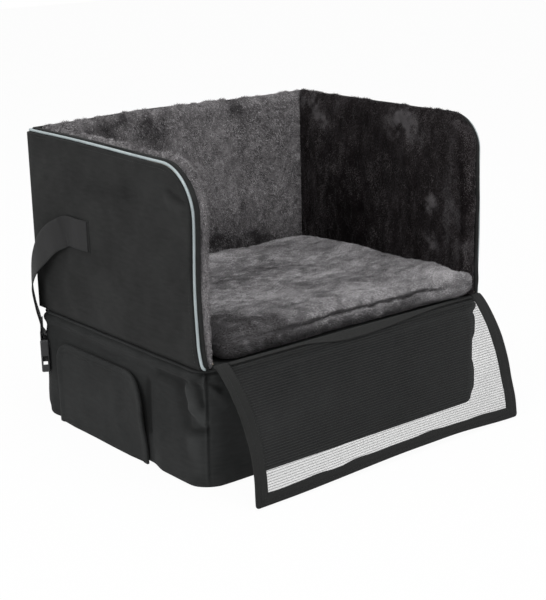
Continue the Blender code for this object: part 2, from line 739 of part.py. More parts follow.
def build_flap(side, label, pivot):
    panel_inset = FLAP_BINDING_FOLD + FIT_GAP
    panel = [[(side * x, y, z) for y, z in flap_outline(panel_inset)]
             for x in (FLAP_INNER_X, FLAP_INNER_X + FLAP_PANEL_THICKNESS)]
    name = f"{label}_flap_panel"
    add_piece(name, loft(name, panel), cover_cloth, pivot)
    section = fold_section(FLAP_BINDING_WIDTH, FLAP_BINDING_THICKNESS, FLAP_BINDING_LAYER,
                           FLAP_BINDING_FOLD)
    lines = [flap_outline(distance) for distance, height in section]
    rings = []
    for station in zip(*lines):
        rings.append([(side * (FLAP_MID_X + height), y, z)
                      for (y, z), (distance, height) in zip(station, section)])
    name = f"{label}_flap_binding"
    add_piece(name, loft(name, rings), cover_cloth, pivot)
    middle = FLAP_FRONT_Y + FLAP_LENGTH / 2
    high = FLAP_LIFT + FLAP_HEIGHT - GRIP_DROP
    for name, inner, carrier in ((f"{label}_loop_strip", GRIP_LOOP_X, None),
                                 (f"{label}_hook_strip", GRIP_HOOK_X, pivot)):
        low_x, high_x = sorted((side * inner, side * (inner + GRIP_THICKNESS)))
        strip = box_mesh(name, (low_x, middle - GRIP_LENGTH / 2, high - GRIP_WIDTH),
                         (high_x, middle + GRIP_LENGTH / 2, high))
        add_piece(name, strip, grip_fabric, carrier)


# Straps: a sewn tab at the slit, loose webbing and half a buckle

def ribbon_rings(points, widths, width, thickness):
    """Rectangular rings square to a path, turned so that each holds its own width direction."""
    rings = []
    for k, (point, across) in enumerate(zip(points, widths)):
        ahead = points[min(k + 1, len(points) - 1)]
        behind = points[max(k - 1, 0)]
        along = (ahead - behind).normalized()
        across = (across - along * across.dot(along)).normalized() * width / 2
        normal = along.cross(across).normalized() * thickness / 2
        rings.append([point - across - normal, point + across - normal,
                      point + across + normal, point - across + normal])
    return rings


def build_tab(side, label):
    """The sewn stretch of strap: through the slit, round a square bend and back along the wall."""
    inside_x = HALF_WIDTH - COVER_SKIN
    outer_x = TAB_MID_X + STRAP_THICKNESS / 2
    half = STRAP_THICKNESS / 2
    profile = [(inside_x, SLIT_Y - half), (outer_x - half, SLIT_Y - half), (outer_x, SLIT_Y),
               (outer_x, TAB_END_Y), (outer_x - STRAP_THICKNESS, TAB_END_Y),
               (outer_x - STRAP_THICKNESS, SLIT_Y + half), (inside_x, SLIT_Y + half)]
    rings = [[(side * x, y, z) for x, y in profile]
             for z in (STRAP_Z - STRAP_WIDTH / 2, STRAP_Z + STRAP_WIDTH / 2)]
    name = f"{label}_strap_tab"
    add_piece(name, loft(name, rings), webbing)


def strap_stops(side):
    """Centre line and width direction of the loose webbing, from the tab to the buckle's bar.

    Each row of shares says how far out, back and down a stop lies, then where its width points.
    """
    start_y = TAB_END_Y + FIT_GAP
    run = WALL_BACK_Y - start_y
    route_shares = ((0, 0, 0, (0, 0, 1)), (0.01, 0.04, 0, (0, 0, 1)),
                    (0.10, 0.12, 0.008, (-0.02, 0.05, 1)), (0.34, 0.21, 0.034, (0, 0.14, 1)),
                    (0.62, 0.396, 0.089, (0, 0.36, 0.93)), (0.68, 0.622, 0.191, (-0.05, 0.76, 0.64)),
                    (0.91, 0.817, 0.331, (-0.3, 0.93, 0.2)), (1.0, 0.920, 0.510, (-0.48, 0.86, -0.12)),
                    (0.60, 0.950, 0.694, (-0.5, 0.86, -0.1)))
    points = [Vector((side * (TAB_MID_X + STRAP_BULGE * out), start_y + run * back,
                      STRAP_Z - BUCKLE_DROP * down)) for out, back, down, across in route_shares]
    widths = [Vector((side * across[0], across[1], across[2])) for *place, across in route_shares]
    bar, along, outward = buckle_place(side)
    for height in (STRAP_RETURN + STRAP_THICKNESS, STRAP_RETURN / 2, 0):
        points.append(bar + outward * STRAP_TURN_RADIUS + Vector((0, 0, height)))
        widths.append(along)
    return points, widths


def buckle_place(side):
    """Centre of the bar that the webbing turns round, the bar's direction and the outward one."""
    centre = Vector((side * (HALF_WIDTH - BUCKLE_INSET), BASE_HALF_DEPTH + BUCKLE_BACK,
                     STRAP_Z - BUCKLE_DROP))
    cosine, sine = math.cos(BUCKLE_TURN), math.sin(BUCKLE_TURN)
    return centre, Vector((-side * cosine, sine, 0)), Vector((side * sine, cosine, 0))


def build_webbing(side, label, pivot):
    stops, widths = strap_stops(side)
    points = stops[:1] + smooth_run(stops[1:], STRAP_STEPS)
    directions = widths[:1] + smooth_run(widths[1:], STRAP_STEPS)
    bar, along, outward = buckle_place(side)
    turn = STRAP_TURN_RADIUS
    for k in range(1, STRAP_TURN_STEPS + 1):
        angle = math.pi * k / STRAP_TURN_STEPS
        points.append(bar + outward * turn * math.cos(angle) - Vector((0, 0, turn * math.sin(angle))))
        directions.append(along)
    sewn = turn - STRAP_THICKNESS - FIT_GAP * 2
    points.append(bar + outward * sewn + Vector((0, 0, STRAP_RETURN)))
    directions.append(along)
    name = f"{label}_strap_webbing"
    rings = ribbon_rings(points, directions, STRAP_WIDTH, STRAP_THICKNESS)
    add_piece(name, loft(name, rings), webbing, pivot)


def buckle_frame(name, label, side, body_length, pivot):
    """The body that both halves share: two rails, the bar between them and a block below it."""
    centre = buckle_place(side)[0]
    top = BAR_HALF * 2 + BAR_WINDOW
    low = (-BUCKLE_WIDTH / 2, -BUCKLE_DEPTH / 2, -top - body_length)
    high = (BUCKLE_WIDTH / 2, BUCKLE_DEPTH / 2, BAR_HALF)
    frame = bpy.data.objects.new(name, box_mesh(name, low, high))
    part.objects.link(frame)
    frame.data.materials.append(moulded_plastic(name))
    frame.parent = pivot
    frame.location = centre - pivot.location
    frame.rotation_euler.z = -side * BUCKLE_TURN
    add_bevel(frame, BUCKLE_ROUND, 3)
    opening = BUCKLE_WIDTH / 2 - BUCKLE_RAIL
    deep = BUCKLE_DEPTH / 2 + CUT_OVERRUN
    foot = -BAR_HALF - BAR_WINDOW
    cut_buckle(frame, f"{label}_bar_window", (-opening, -deep, foot), (opening, deep, -BAR_HALF))
    for face, reach in (("front", -deep), ("rear", deep)):
        near, far = sorted((math.copysign(BAR_HALF, reach), reach))
        cut_buckle(frame, f"{label}_bar_{face}", (-opening, near, foot), (opening, far, deep))
    return frame, top


def cut_buckle(frame, name, low, high):
    cutter = add_cutter(name, low, high, frame.parent)
    cutter.location = frame.location
    cutter.rotation_euler = frame.rotation_euler
    add_boolean(frame, cutter)


def build_socket(side, label, pivot):
    """The half that takes the prongs: a hollow body, open below, with a window on each side."""
    frame, top = buckle_frame(f"{label}_buckle_socket", label, side, SOCKET_LENGTH, pivot)
    half = BUCKLE_WIDTH / 2
    inner_x = half - SOCKET_WALL
    inner_y = BUCKLE_DEPTH / 2 - SOCKET_WALL
    bottom = -top - SOCKET_LENGTH
    ceiling = -BAR_HALF - BAR_WINDOW - BUCKLE_RAIL
    cut_buckle(frame, f"{label}_cavity", (-inner_x, -inner_y, bottom - CUT_OVERRUN),
               (inner_x, inner_y, ceiling))
    window_low = bottom + SOCKET_WINDOW_DROP
    cut_buckle(frame, f"{label}_side_window", (-half - CUT_OVERRUN, -inner_y, window_low),
               (half + CUT_OVERRUN, inner_y, window_low + SOCKET_WINDOW_LENGTH))


def prong_outline(direction, root):
    """One sprung arm with its catch, as (x, z) points. It starts inside the plug's body."""
    outer = BUCKLE_WIDTH / 2 - SOCKET_WALL - FIT_GAP
    inner = outer - PRONG_WIDTH
    waist_share, heel_share, cheek_share, catch_share = 0.35, 0.90, 0.72, 0.62
    waist, heel, cheek, catch = (root - PRONG_LENGTH * share
                                 for share in (waist_share, heel_share, cheek_share, catch_share))
    start = root + PLUG_BODY / 3
    tip = root - PRONG_LENGTH
    points = [(inner - PRONG_BARB, start), (inner, waist), (inner - PRONG_BARB / 2, heel),
              (inner, tip), (outer - PRONG_BARB, tip), (outer, cheek), (outer, catch),
              (outer - PRONG_BARB, catch + PRONG_BARB / 3), (outer - PRONG_BARB, start)]
    return [(direction * x, z) for x, z in points]


def build_plug(side, label, pivot):
    """The half with two sprung arms and a guide between them."""
    frame, top = buckle_frame(f"{label}_buckle_plug", label, side, PLUG_BODY, pivot)
    root = -top - PLUG_BODY
    start = root + PLUG_BODY / 3
    half = PRONG_THICKNESS / 2
    tip = root - PRONG_LENGTH
    guide = [(-GUIDE_WIDTH / 2, start), (-GUIDE_WIDTH / 4, tip), (GUIDE_WIDTH / 4, tip),
             (GUIDE_WIDTH / 2, start)]
    limbs = {"guide": guide, "inner_arm": prong_outline(-1, root), "outer_arm": prong_outline(1, root)}
    for limb, outline in limbs.items():
        mesh = loft(f"{label}_{limb}", [[(x, y, z) for x, z in outline] for y in (-half, half)])
        tool = bpy.data.objects.new(f"{label}_{limb}", mesh)
        cutters.objects.link(tool)
        tool.hide_render = True
        tool.display_type = "WIRE"
        tool.parent = pivot
        tool.location = frame.location
        tool.rotation_euler = frame.rotation_euler
        add_boolean(frame, tool, "UNION")


def build_model():
    build_base()
    build_walls()
    build_cushion(hinge_empty("cushion_lift", (0, 0, BASE_HEIGHT)))
    build_apron(hinge_empty("apron_hinge", (0, HINGE_Y, HINGE_Z)))
    for side, label in SIDES:
        flap_axis = (side * FLAP_OUTER_X, FLAP_FRONT_Y + FLAP_LENGTH / 2, FLAP_LIFT)
        build_flap(side, label, hinge_empty(f"{label}_flap_hinge", flap_axis))
        build_tab(side, label)
        strap_axis = (side * (TAB_MID_X + STRAP_THICKNESS / 2), TAB_END_Y + FIT_GAP, STRAP_Z)
        pivot = hinge_empty(f"{label}_strap_swing", strap_axis)
        build_webbing(side, label, pivot)
        half_buckle = build_socket if side < 0 else build_plug
        half_buckle(side, label, pivot)


SIDES = ((-1, "left"), (1, "right"))
clear_scene()
part = new_collection("dog_car_seat")
cutters = new_collection("cutters")
build_model()
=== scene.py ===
"""Looks of the dog car seat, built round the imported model.

World frame: +X to the right, +Y to the back, +Z up, in metres. The seat opens towards -Y.
A side is -1 on the left, 1 on the right and 0 at the back.
"""

import itertools
import math

import bmesh
import bpy
import numpy as np
from mathutils import Matrix, Vector


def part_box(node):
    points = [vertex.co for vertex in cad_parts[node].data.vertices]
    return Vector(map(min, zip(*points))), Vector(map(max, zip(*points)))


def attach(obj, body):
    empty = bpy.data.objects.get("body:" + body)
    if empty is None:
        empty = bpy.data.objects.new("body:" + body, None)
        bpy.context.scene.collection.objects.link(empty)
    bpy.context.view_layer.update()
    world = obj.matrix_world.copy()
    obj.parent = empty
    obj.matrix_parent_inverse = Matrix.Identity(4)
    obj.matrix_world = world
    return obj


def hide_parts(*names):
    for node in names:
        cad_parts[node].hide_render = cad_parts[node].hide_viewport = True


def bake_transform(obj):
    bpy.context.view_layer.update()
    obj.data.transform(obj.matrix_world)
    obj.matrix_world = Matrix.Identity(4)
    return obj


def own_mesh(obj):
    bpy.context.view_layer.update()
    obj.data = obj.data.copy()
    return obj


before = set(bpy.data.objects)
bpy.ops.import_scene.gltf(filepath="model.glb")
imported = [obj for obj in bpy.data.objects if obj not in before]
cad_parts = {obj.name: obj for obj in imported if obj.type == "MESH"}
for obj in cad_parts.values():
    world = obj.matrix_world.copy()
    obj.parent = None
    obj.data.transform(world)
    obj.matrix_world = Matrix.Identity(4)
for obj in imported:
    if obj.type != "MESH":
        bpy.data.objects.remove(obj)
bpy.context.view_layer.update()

# The photograph's camera, and the picture that it makes
CAMERA_PLACE = Vector((-1.1035, -1.4055, 0.669))
CAMERA_TURN = math.radians(-38.637)
CAMERA_RISE = math.radians(16.328)
CAMERA_ROLL = math.radians(-1.448)
FOCAL_PIXELS = 1437.2
PICTURE_HEIGHT = 600
SENSOR = 36.0

# Sizes read from the frame
WALL_LOW, WALL_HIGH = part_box("left_wall_cover")
HALF_WIDTH = -WALL_LOW.x
WALL_BOTTOM = WALL_LOW.z
WALL_TOP = WALL_HIGH.z
BACK_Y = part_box("back_wall_cover")[1].y
INNER_X = -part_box("left_wall_plush")[1].x
INNER_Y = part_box("back_wall_plush")[0].y
BASE_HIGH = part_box("base_cover")[1]
CUSHION_LOW, CUSHION_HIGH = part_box("cushion_cover")
HEADER_LOW, HEADER_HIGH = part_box("apron_header")
APRON_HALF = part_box("apron_binding")[1].x
FLAP_LOW, FLAP_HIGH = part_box("right_flap_binding")
TAB_LOW, TAB_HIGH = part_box("right_strap_tab")
GAP = 0.0003

# Walls
WALL_FRONT_Y = -0.1715
WALL_RADII = {-1: 0.06, 1: 0.045}
FRONT_FLARES = {-1: 0.006, 1: 0.001}
FLARE_HEIGHT = 0.03
FRONT_RECESSES = {-1: 0.0035, 1: -0.0015}
PIPING_RADIUS = 0.0017
PIPING_SEAT = 0.0052
PIPING_INSET = PIPING_SEAT - GAP - PIPING_RADIUS
PIPING_SEAM = PIPING_SEAT + 0.0012
COVER_INSET = PIPING_SEAT + 0.0015
GUSSET_END = 0.0104
FACING_DEPTH = 0.0178
FACING_ROLL = 0.011
FACING_PUFF = 0.0018
FACING_FOOT = 0.0012
FACING_PITCH = 0.0016
COVER_PITCH = 0.0034
BACK_COVER_PITCH = 0.004
REAR_SOFTNESS = 0.006
FOOT_SOFTNESS = 0.003

# Base
BASE_RADIUS = 0.024
BASE_ROLL = 0.006
SEAM_ROLL_RADIUS = 0.0017
SEAM_ROLL_DROP = 0.0042

# Cushion
CUSHION_MIDDLE = (CUSHION_HIGH.y + CUSHION_LOW.y) / 2
CUSHION_SEAM = 0.0215
CUSHION_VOXEL = 0.0045
CORE_SHRINK = 0.022
AIR_PRESSURE = 4.0
AIR_STIFFNESS = 20.0
AIR_FRAMES = 20
SWELL_CAP = 0.0075

# Pile. Each row has the hairs' look, seed, length and nap, the stretch of their tones, and the shares of fine,
# broad and single tones.
HAIR_DENSITY = 900000
HAIR_HALF_WIDTH = 0.00024
HAIR_CUTS = (-1.05, -0.45, 0.05, 0.5)
PILES = {
    "left": ("hair_grey", 199, 0.0034, (0, -0.3, -1), (1, 1, 0.45), 0.35, 0.3, 0.42),
    # painted shade: the right pile's dark look stands for the shade on it as well as its nap
    "right": ("hair_dark_painted_shade", 201, 0.0034, (0, -0.3, -1), (1, 1, 0.45), 0.55, 0.3, 0.42),
    "back": ("hair_grey", 230, 0.0034, (0.3, 0, -1), (0.8, 1, 0.8), 0.34, 0.24, 0.46),
    # painted light: the seat's light look stands for the light on the cushion's top as well as its nap
    "seat": ("hair_seat_painted_light", 260, 0.0036, (0.6, -1, 0), (0.7, 1, 1), 0.72, 0.5, 0.38),
}

# Apron
HINGE_Y = (HEADER_LOW.y + HEADER_HIGH.y) / 2
HINGE_Z = (HEADER_LOW.z + HEADER_HIGH.z) / 2
ROLL_RADIUS = (HEADER_HIGH.z - HEADER_LOW.z) / 2 + 0.0004
ROLL_FADE = 0.085
APRON_REACH = 0.0675
APRON_HEM_Z = 0.0015
APRON_TOP_PULL = 0.045
APRON_HEM_PULL = 0.05
APRON_TOP_SLOPE = math.radians(36.0)
APRON_HEM_SLOPE = math.radians(84.0)
NET_START = -0.002
BINDING_START = -0.0045
BAND_START = -0.0042
BAND_RISE = 0.001
BAND_SAG = 0.0085
BAND_THICKNESS = 0.0007
HEM_RISE = 0.005
SIDE_DRAW = 0.0065
BINDING_WIDTH = 0.018
BINDING_THICKNESS = 0.0016
BINDING_CORNER = 0.004
HEM_BINDING = 0.015
NET_PITCH = 0.003
NET_RIB_WIDTH = 0.00047
NET_RIB_DEPTH = 0.00072
NET_THREAD = 0.00016
NET_THREAD_DEPTH = 0.00018
NET_THREAD_PITCH = 0.00055

# Flaps
FLAP_FRONT_RADIUS = 0.038
FLAP_REAR_RADIUS = 0.03
FLAP_HEM = 0.0075
FLAP_THICKNESS = 0.0028

# Straps
STRAP_WIDTH = 0.038
STRAP_THICKNESS = 0.0018
STRAP_BULGE = 0.011
STRAP_RETURN = 0.022
STRAP_LEVEL = (TAB_LOW.z + TAB_HIGH.z) / 2
BAR_HALF = 0.0017
BUCKLE_BACK = 0.0003
BUCKLE_INSET = 0.0032
BUCKLE_DROP = 0.157
BUCKLE_TURN = math.radians(60.0)


# Numbers

def lattice(cells, seed):
    """A steady pseudo-random value in -1..1 for each whole-number cell."""
    mask, mixer = 0xFFFFFFFF, 1274126177
    value = (cells @ np.array((374761393, 668265263, 2147483629)) + seed * mixer) & mask
    value = ((value ^ (value >> 13)) * mixer) & mask
    value = value ^ (value >> 16)
    return (value & 0xFFFF) / 32767.5 - 1.0


def noise(points, size, seed):
    """Smooth bumps of one size, in -1..1."""
    place = np.asarray(points, float) / size
    cell = np.floor(place).astype(np.int64)
    part = place - cell
    part = part * part * (3 - 2 * part)
    total = np.zeros(place.shape[:-1])
    for corner in itertools.product((0, 1), repeat=3):
        weight = np.prod(np.where(np.array(corner) == 1, part, 1 - part), axis=-1)
        total += weight * lattice(cell + np.array(corner), seed)
    return total


def layered(points, size, seed, layers=3):
    """Noise with finer and weaker layers on top."""
    return sum(noise(points, size / 2**k, seed + k) / 2**k for k in range(layers))


def bumps(points, *layers):
    """Noise in layers, each with a size, a seed and a height."""
    return sum(noise(points, size, seed) * height for size, seed, height in layers)


def ease(value, low, high):
    """A smooth step from 0 at low to 1 at high."""
    share = np.clip((np.asarray(value, float) - low) / (high - low), 0, 1)
    return share * share * (3 - 2 * share)


def bell(distance, width):
    return np.exp(-(distance / width) ** 2)


def unit(vectors):
    return vectors / np.maximum(np.linalg.norm(vectors, axis=-1, keepdims=True), 1e-12)


def spread(low, high, pitch):
    """Evenly spaced values from low to high, about pitch apart."""
    return np.linspace(low, high, max(2, int(round(abs(high - low) / pitch)) + 1))


def columns(*parts):
    """Points put together from their coordinates, of which some may be single numbers."""
    return np.stack(np.broadcast_arrays(*parts), -1).astype(float)


def walk(path):
    """The distance along a path at each of its points."""
    return np.concatenate([[0], np.cumsum(np.linalg.norm(np.diff(path, axis=0), axis=1))])


def resample(path, pitch):
    """Points spaced evenly along a path."""
    walked = walk(path)
    return columns(*(np.interp(spread(0, walked[-1], pitch), walked, part) for part in path.T))


def folds(points, runs):
    """Height of ridges and valleys. Each run has its two ends, a width and a height."""
    total = np.zeros(len(points))
    for run in np.array(runs):
        start, line = run[:3], run[3:6] - run[:3]
        share = np.clip((points - start) @ line / (line @ line), 0, 1)
        away = np.linalg.norm(points - start - share[:, None] * line, axis=1)
        total += run[7] * bell(away, run[6])
    return total


def on_plane(axis, level, *runs):
    """Runs for folds, from runs that leave out one axis, on which both ends are at one level."""
    return np.insert(np.array(runs), (axis, axis + 2), level, axis=1)


# Meshes

def add_piece(name, mesh, look, body="shell", slot="cover_fabric", replaced=()):
    piece = bpy.data.objects.new(name, mesh)
    bpy.context.scene.collection.objects.link(piece)
    mesh.materials.clear()
    for material in MATERIALS[look]:
        mesh.materials.append(material)
    mesh.shade_smooth()
    if body:
        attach(piece, body)
    if replaced:
        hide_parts(*replaced)
    return piece


def finish_mesh(name, points, faces, uv, look, **role):
    """Make a piece of points and faces. uv holds one place in the cloth, in metres, for each point."""
    mesh = bpy.data.meshes.new(name)
    mesh.from_pydata(points.tolist(), [], faces)
    build = bmesh.new()
    build.from_mesh(mesh)
    bmesh.ops.recalc_face_normals(build, faces=build.faces)
    build.to_mesh(mesh)
    build.free()
    layer = mesh.uv_layers.new(name="cloth")
    corners = np.empty(len(mesh.loops), np.int32)
    mesh.loops.foreach_get("vertex_index", corners)
    layer.data.foreach_set("uv", uv[corners].astype(np.float32).ravel())
    return add_piece(name, mesh, look, **role)


def grid_faces(index):
    return np.stack([index[:-1, :-1], index[:-1, 1:], index[1:, 1:], index[1:, :-1]], -1).reshape(-1, 4).tolist()


def tube_faces(index):
    """Faces that also join the last column to the first and close both end rows."""
    return grid_faces(np.concatenate([index, index[:, :1]], 1)) + [index[0].tolist(), index[-1].tolist()]


def surface(name, grid, look, closed=True, **role):
    """A skin over rows and columns of points. A closed one is a tube with two ends."""
    runs = [np.cumsum(np.linalg.norm(np.diff(grid, axis=k), axis=-1), axis=k) for k in (1, 0)]
    uv = np.stack([np.pad(runs[0], ((0, 0), (1, 0))), np.pad(runs[1], ((1, 0), (0, 0)))], -1)
    index = np.arange(grid[..., 0].size).reshape(grid.shape[:2])
    faces = tube_faces(index) if closed else grid_faces(index)
    return finish_mesh(name, grid.reshape(-1, 3), faces, uv.reshape(-1, 2), look, **role)


def pad(name, grid, facing, rim, look, clamp=None, **role):
    """A padded form: a face whose border turns over along rim steps (out, back), capped behind."""
    facing = np.array(facing, float)
    index = np.arange(grid[..., 0].size).reshape(grid.shape[:2])
    loop = np.concatenate([index[0], index[1:, -1], index[-1, -2::-1], index[-2:0:-1, 0]])
    flat = grid.reshape(-1, 3)
    border = flat[loop]
    before, after = (unit(np.cross(run, facing)) for run in (border - np.roll(border, 1, 0),
                                                             np.roll(border, -1, 0) - border))
    outward = (before + after) / np.maximum(1 + (before * after).sum(1, keepdims=True), 0.9)
    if ((border - border.mean(0)) * outward).sum() < 0:
        outward = -outward
    axes = [k for k in range(3) if abs(facing[k]) < 0.5]
    points, uv, faces = [flat], [flat[:, axes]], grid_faces(index)
    walked, last, here = 0.0, (0.0, 0.0), loop
    for out, back in rim:
        ring = border + outward * out - facing * back
        walked += math.hypot(out - last[0], back - last[1])
        last, before = (out, back), here
        here = sum(map(len, points)) + np.arange(len(loop))
        points.append(clamp(ring, back) if clamp else ring)
        uv.append((border + outward * walked)[:, axes])
        faces += np.stack([before, np.roll(before, -1), np.roll(here, -1), here], -1).tolist()
    faces.append(here.tolist())
    return finish_mesh(name, np.concatenate(points), faces, np.concatenate(uv), look, **role)


def read(items, key, size=3):
    """One row of numbers for each item."""
    values = np.empty(len(items) * size, np.float32)
    items.foreach_get(key, values)
    return values.reshape(-1, size)


def read_points(piece):
    """The piece's points and their normals."""
    return [read(piece.data.vertices, key).astype(float) for key in ("co", "normal")]


def write_points(piece, points):
    piece.data.vertices.foreach_set("co", points.astype(np.float32).ravel())
    piece.data.update()


def shift_points(piece, shift):
    """Move each point by shift(points)."""
    points = read_points(piece)[0]
    write_points(piece, points + shift(points))


def displace(piece, amount):
    """Move each point along its normal by amount(points, normals)."""
    points, normals = read_points(piece)
    write_points(piece, points + normals * np.asarray(amount(points, normals))[:, None])


def paint(piece, name, values):
    """Keep one value for each point, which the piece's material reads."""
    layer = piece.data.attributes.new(name, "FLOAT", "POINT")
    layer.data.foreach_set("value", np.asarray(values).astype(np.float32))


def bake_modifiers(piece):
    """Put the evaluated mesh in place of the piece's own, without its modifiers."""
    shown = piece.evaluated_get(bpy.context.evaluated_depsgraph_get())
    mesh = bpy.data.meshes.new_from_object(shown)
    piece.modifiers.clear()
    old = piece.data
    piece.data = mesh
    bpy.data.meshes.remove(old)
    mesh.shade_smooth()


def frames_along(path, up):
    """Unit tangent, side and normal vectors along a path."""
    tangent = unit(np.gradient(path, axis=0))
    side = unit(np.cross(tangent, np.broadcast_to(np.array(up, float), path.shape)))
    return tangent, side, np.cross(side, tangent)


def tube(name, path, radius, up, look, sides=12, **role):
    """A closed round tube along a path."""
    _, side, normal = frames_along(path, up)
    angles = np.linspace(0, 2 * math.pi, sides, endpoint=False)
    rows = [path + side * (radius * math.cos(a)) + normal * (radius * math.sin(a)) for a in angles]
    return surface(name, np.stack(rows, 1), look, **role)


def stitches(name, paths, up, body="shell"):
    """Rows of single stitches, each a slim six-pointed bead that lies along its path."""
    pitch, half_length, half_width, rise = 0.004, 0.0014, 0.00028, 0.00035
    points, faces = [], []
    for path in paths:
        marks = resample(path, pitch)
        for place, along, across, high in zip(marks, *frames_along(marks, up)):
            base = len(points)
            points += [place - along * half_length, place + along * half_length,
                       place - across * half_width, place + across * half_width,
                       place + high * rise, place - high * rise]
            for end, turn in ((0, 1), (1, -1)):
                ring = (2, 4, 3, 5)[::turn]
                faces += [(base + end, base + ring[k], base + ring[(k + 1) % 4]) for k in range(4)]
    points = np.array(points)
    return finish_mesh(name, points, faces, points[:, :2], "thread", body=body)


def round_outline(half_x, half_y, radius, pitch):
    """Points and outward directions round a rectangle with round corners."""
    places, directions = [], []
    inner = (half_x - radius, half_y - radius)
    signs = ((1, 1), (-1, 1), (-1, -1), (1, -1), (1, 1))
    for quarter, (sign, next_sign) in enumerate(zip(signs, signs[1:])):
        angles = quarter * math.pi / 2 + spread(0, math.pi / 2, pitch / 2 / radius)
        arrows = columns(np.cos(angles), np.sin(angles))
        arc = np.array(sign) * inner + arrows * radius
        follow = np.array(next_sign) * inner + arrows[-1] * radius
        steps = spread(0, np.linalg.norm(follow - arc[-1]), pitch)
        shares = (steps / steps[-1])[1:-1, None]
        places += [arc, arc[-1] * (1 - shares) + follow * shares]
        directions += [arrows, np.repeat(arrows[-1:], len(shares), 0)]
    return np.concatenate(places), np.concatenate(directions)


def rings(outline, directions, steps):
    """The outline at each step's height, moved outwards by the step's offset."""
    return np.stack([columns(*(outline + directions * offset).T, height) for height, offset in steps])


# Pile

# Runs for folds: where each pile's tone differs, and by how much. The seat's darkened runs at the front left and along
# the front's foot are painted shade.
NAP_AND_SHADE_PATCHES = {
    "left": on_plane(0, -0.197, (-0.175, 0.33, -0.175, 0.16, 0.0045, 0.55),
                     (-0.15, 0.372, 0.1, 0.38, 0.007, 0.35)),
    "right": on_plane(0, 0.195, (-0.07, 0.36, -0.052, 0.364, 0.014, 1.05),
                      (-0.04, 0.35, -0.08, 0.34, 0.022, 0.35), (0.1, 0.344, 0.108, 0.352, 0.012, 0.95),
                      (0.135, 0.369, 0.125, 0.372, 0.011, 0.85), (-0.111, 0.258, -0.11, 0.264, 0.009, 0.9),
                      (-0.104, 0.214, -0.113, 0.205, 0.008, 0.9), (-0.169, 0.211, -0.169, 0.2, 0.01, 0.8),
                      (-0.152, 0.3, -0.15, 0.215, 0.014, 0.35), (0.055, 0.239, 0.045, 0.191, 0.034, -0.7),
                      (-0.163, 0.318, -0.166, 0.192, 0.005, -1.2)),
    "back": on_plane(1, 0.15, (-0.051, 0.35, -0.063, 0.365, 0.016, -0.52),
                     (-0.096, 0.382, -0.1, 0.376, 0.014, -0.6), (-0.13, 0.376, -0.122, 0.358, 0.011, -0.62),
                     (0.084, 0.374, 0.09, 0.366, 0.018, -0.5), (0.074, 0.172, 0.04, 0.192, 0.016, -0.95),
                     (0.11, 0.18, 0.137, 0.168, 0.017, -0.95), (0.0, 0.3, 0.15, 0.26, 0.06, 0.22)),
    # painted shade: the first five seat runs darken the front left corner by the left wall and the foot of the front
    "seat": [(-0.188, -0.152, 0.174, -0.165, -0.138, 0.182, 0.026, -1.3),
             (-0.192, -0.16, 0.165, -0.19, -0.12, 0.18, 0.017, -1.6),
             (-0.19, -0.168, 0.16, -0.12, -0.17, 0.158, 0.018, -0.9),
             (-0.15, -0.15, 0.18, -0.11, -0.16, 0.176, 0.014, -0.7),
             (-0.1, -0.168, 0.155, 0.1, -0.17, 0.153, 0.01, -0.5),
             (-0.08, -0.08, 0.19, -0.04, -0.1, 0.19, 0.04, 0.3),
             (-0.01, -0.15, 0.185, 0.06, -0.15, 0.185, 0.03, 0.35),
             (0.16, -0.16, 0.178, 0.19, -0.175, 0.175, 0.03, 0.4),
             (-0.15, 0.1, 0.19, 0.15, 0.13, 0.19, 0.05, 0.3),
             (-0.06, 0.0, 0.19, 0.02, 0.02, 0.19, 0.03, -0.3),
             (0.06, -0.06, 0.19, 0.13, -0.05, 0.19, 0.026, 0.3)],
}


def nap_and_shade_tone(points, label):
    """Where a pile is brushed lighter or darker, with painted shade on the cushion: a dark line in its front seam's
    groove.
    """
    tone = folds(points, NAP_AND_SHADE_PATCHES[label]) * (1 + 0.8 * noise(points, 0.007, 63))
    if label == "seat":
        # painted shade: a dark line along the front seam's groove
        tone = tone - 2.3 * bell(seam_distance(points), 0.0016) * seam_shown(points)
    return tone


def set_nap_and_shade(piece, label):
    paint(piece, "nap", nap_and_shade_tone(read_points(piece)[0], label))


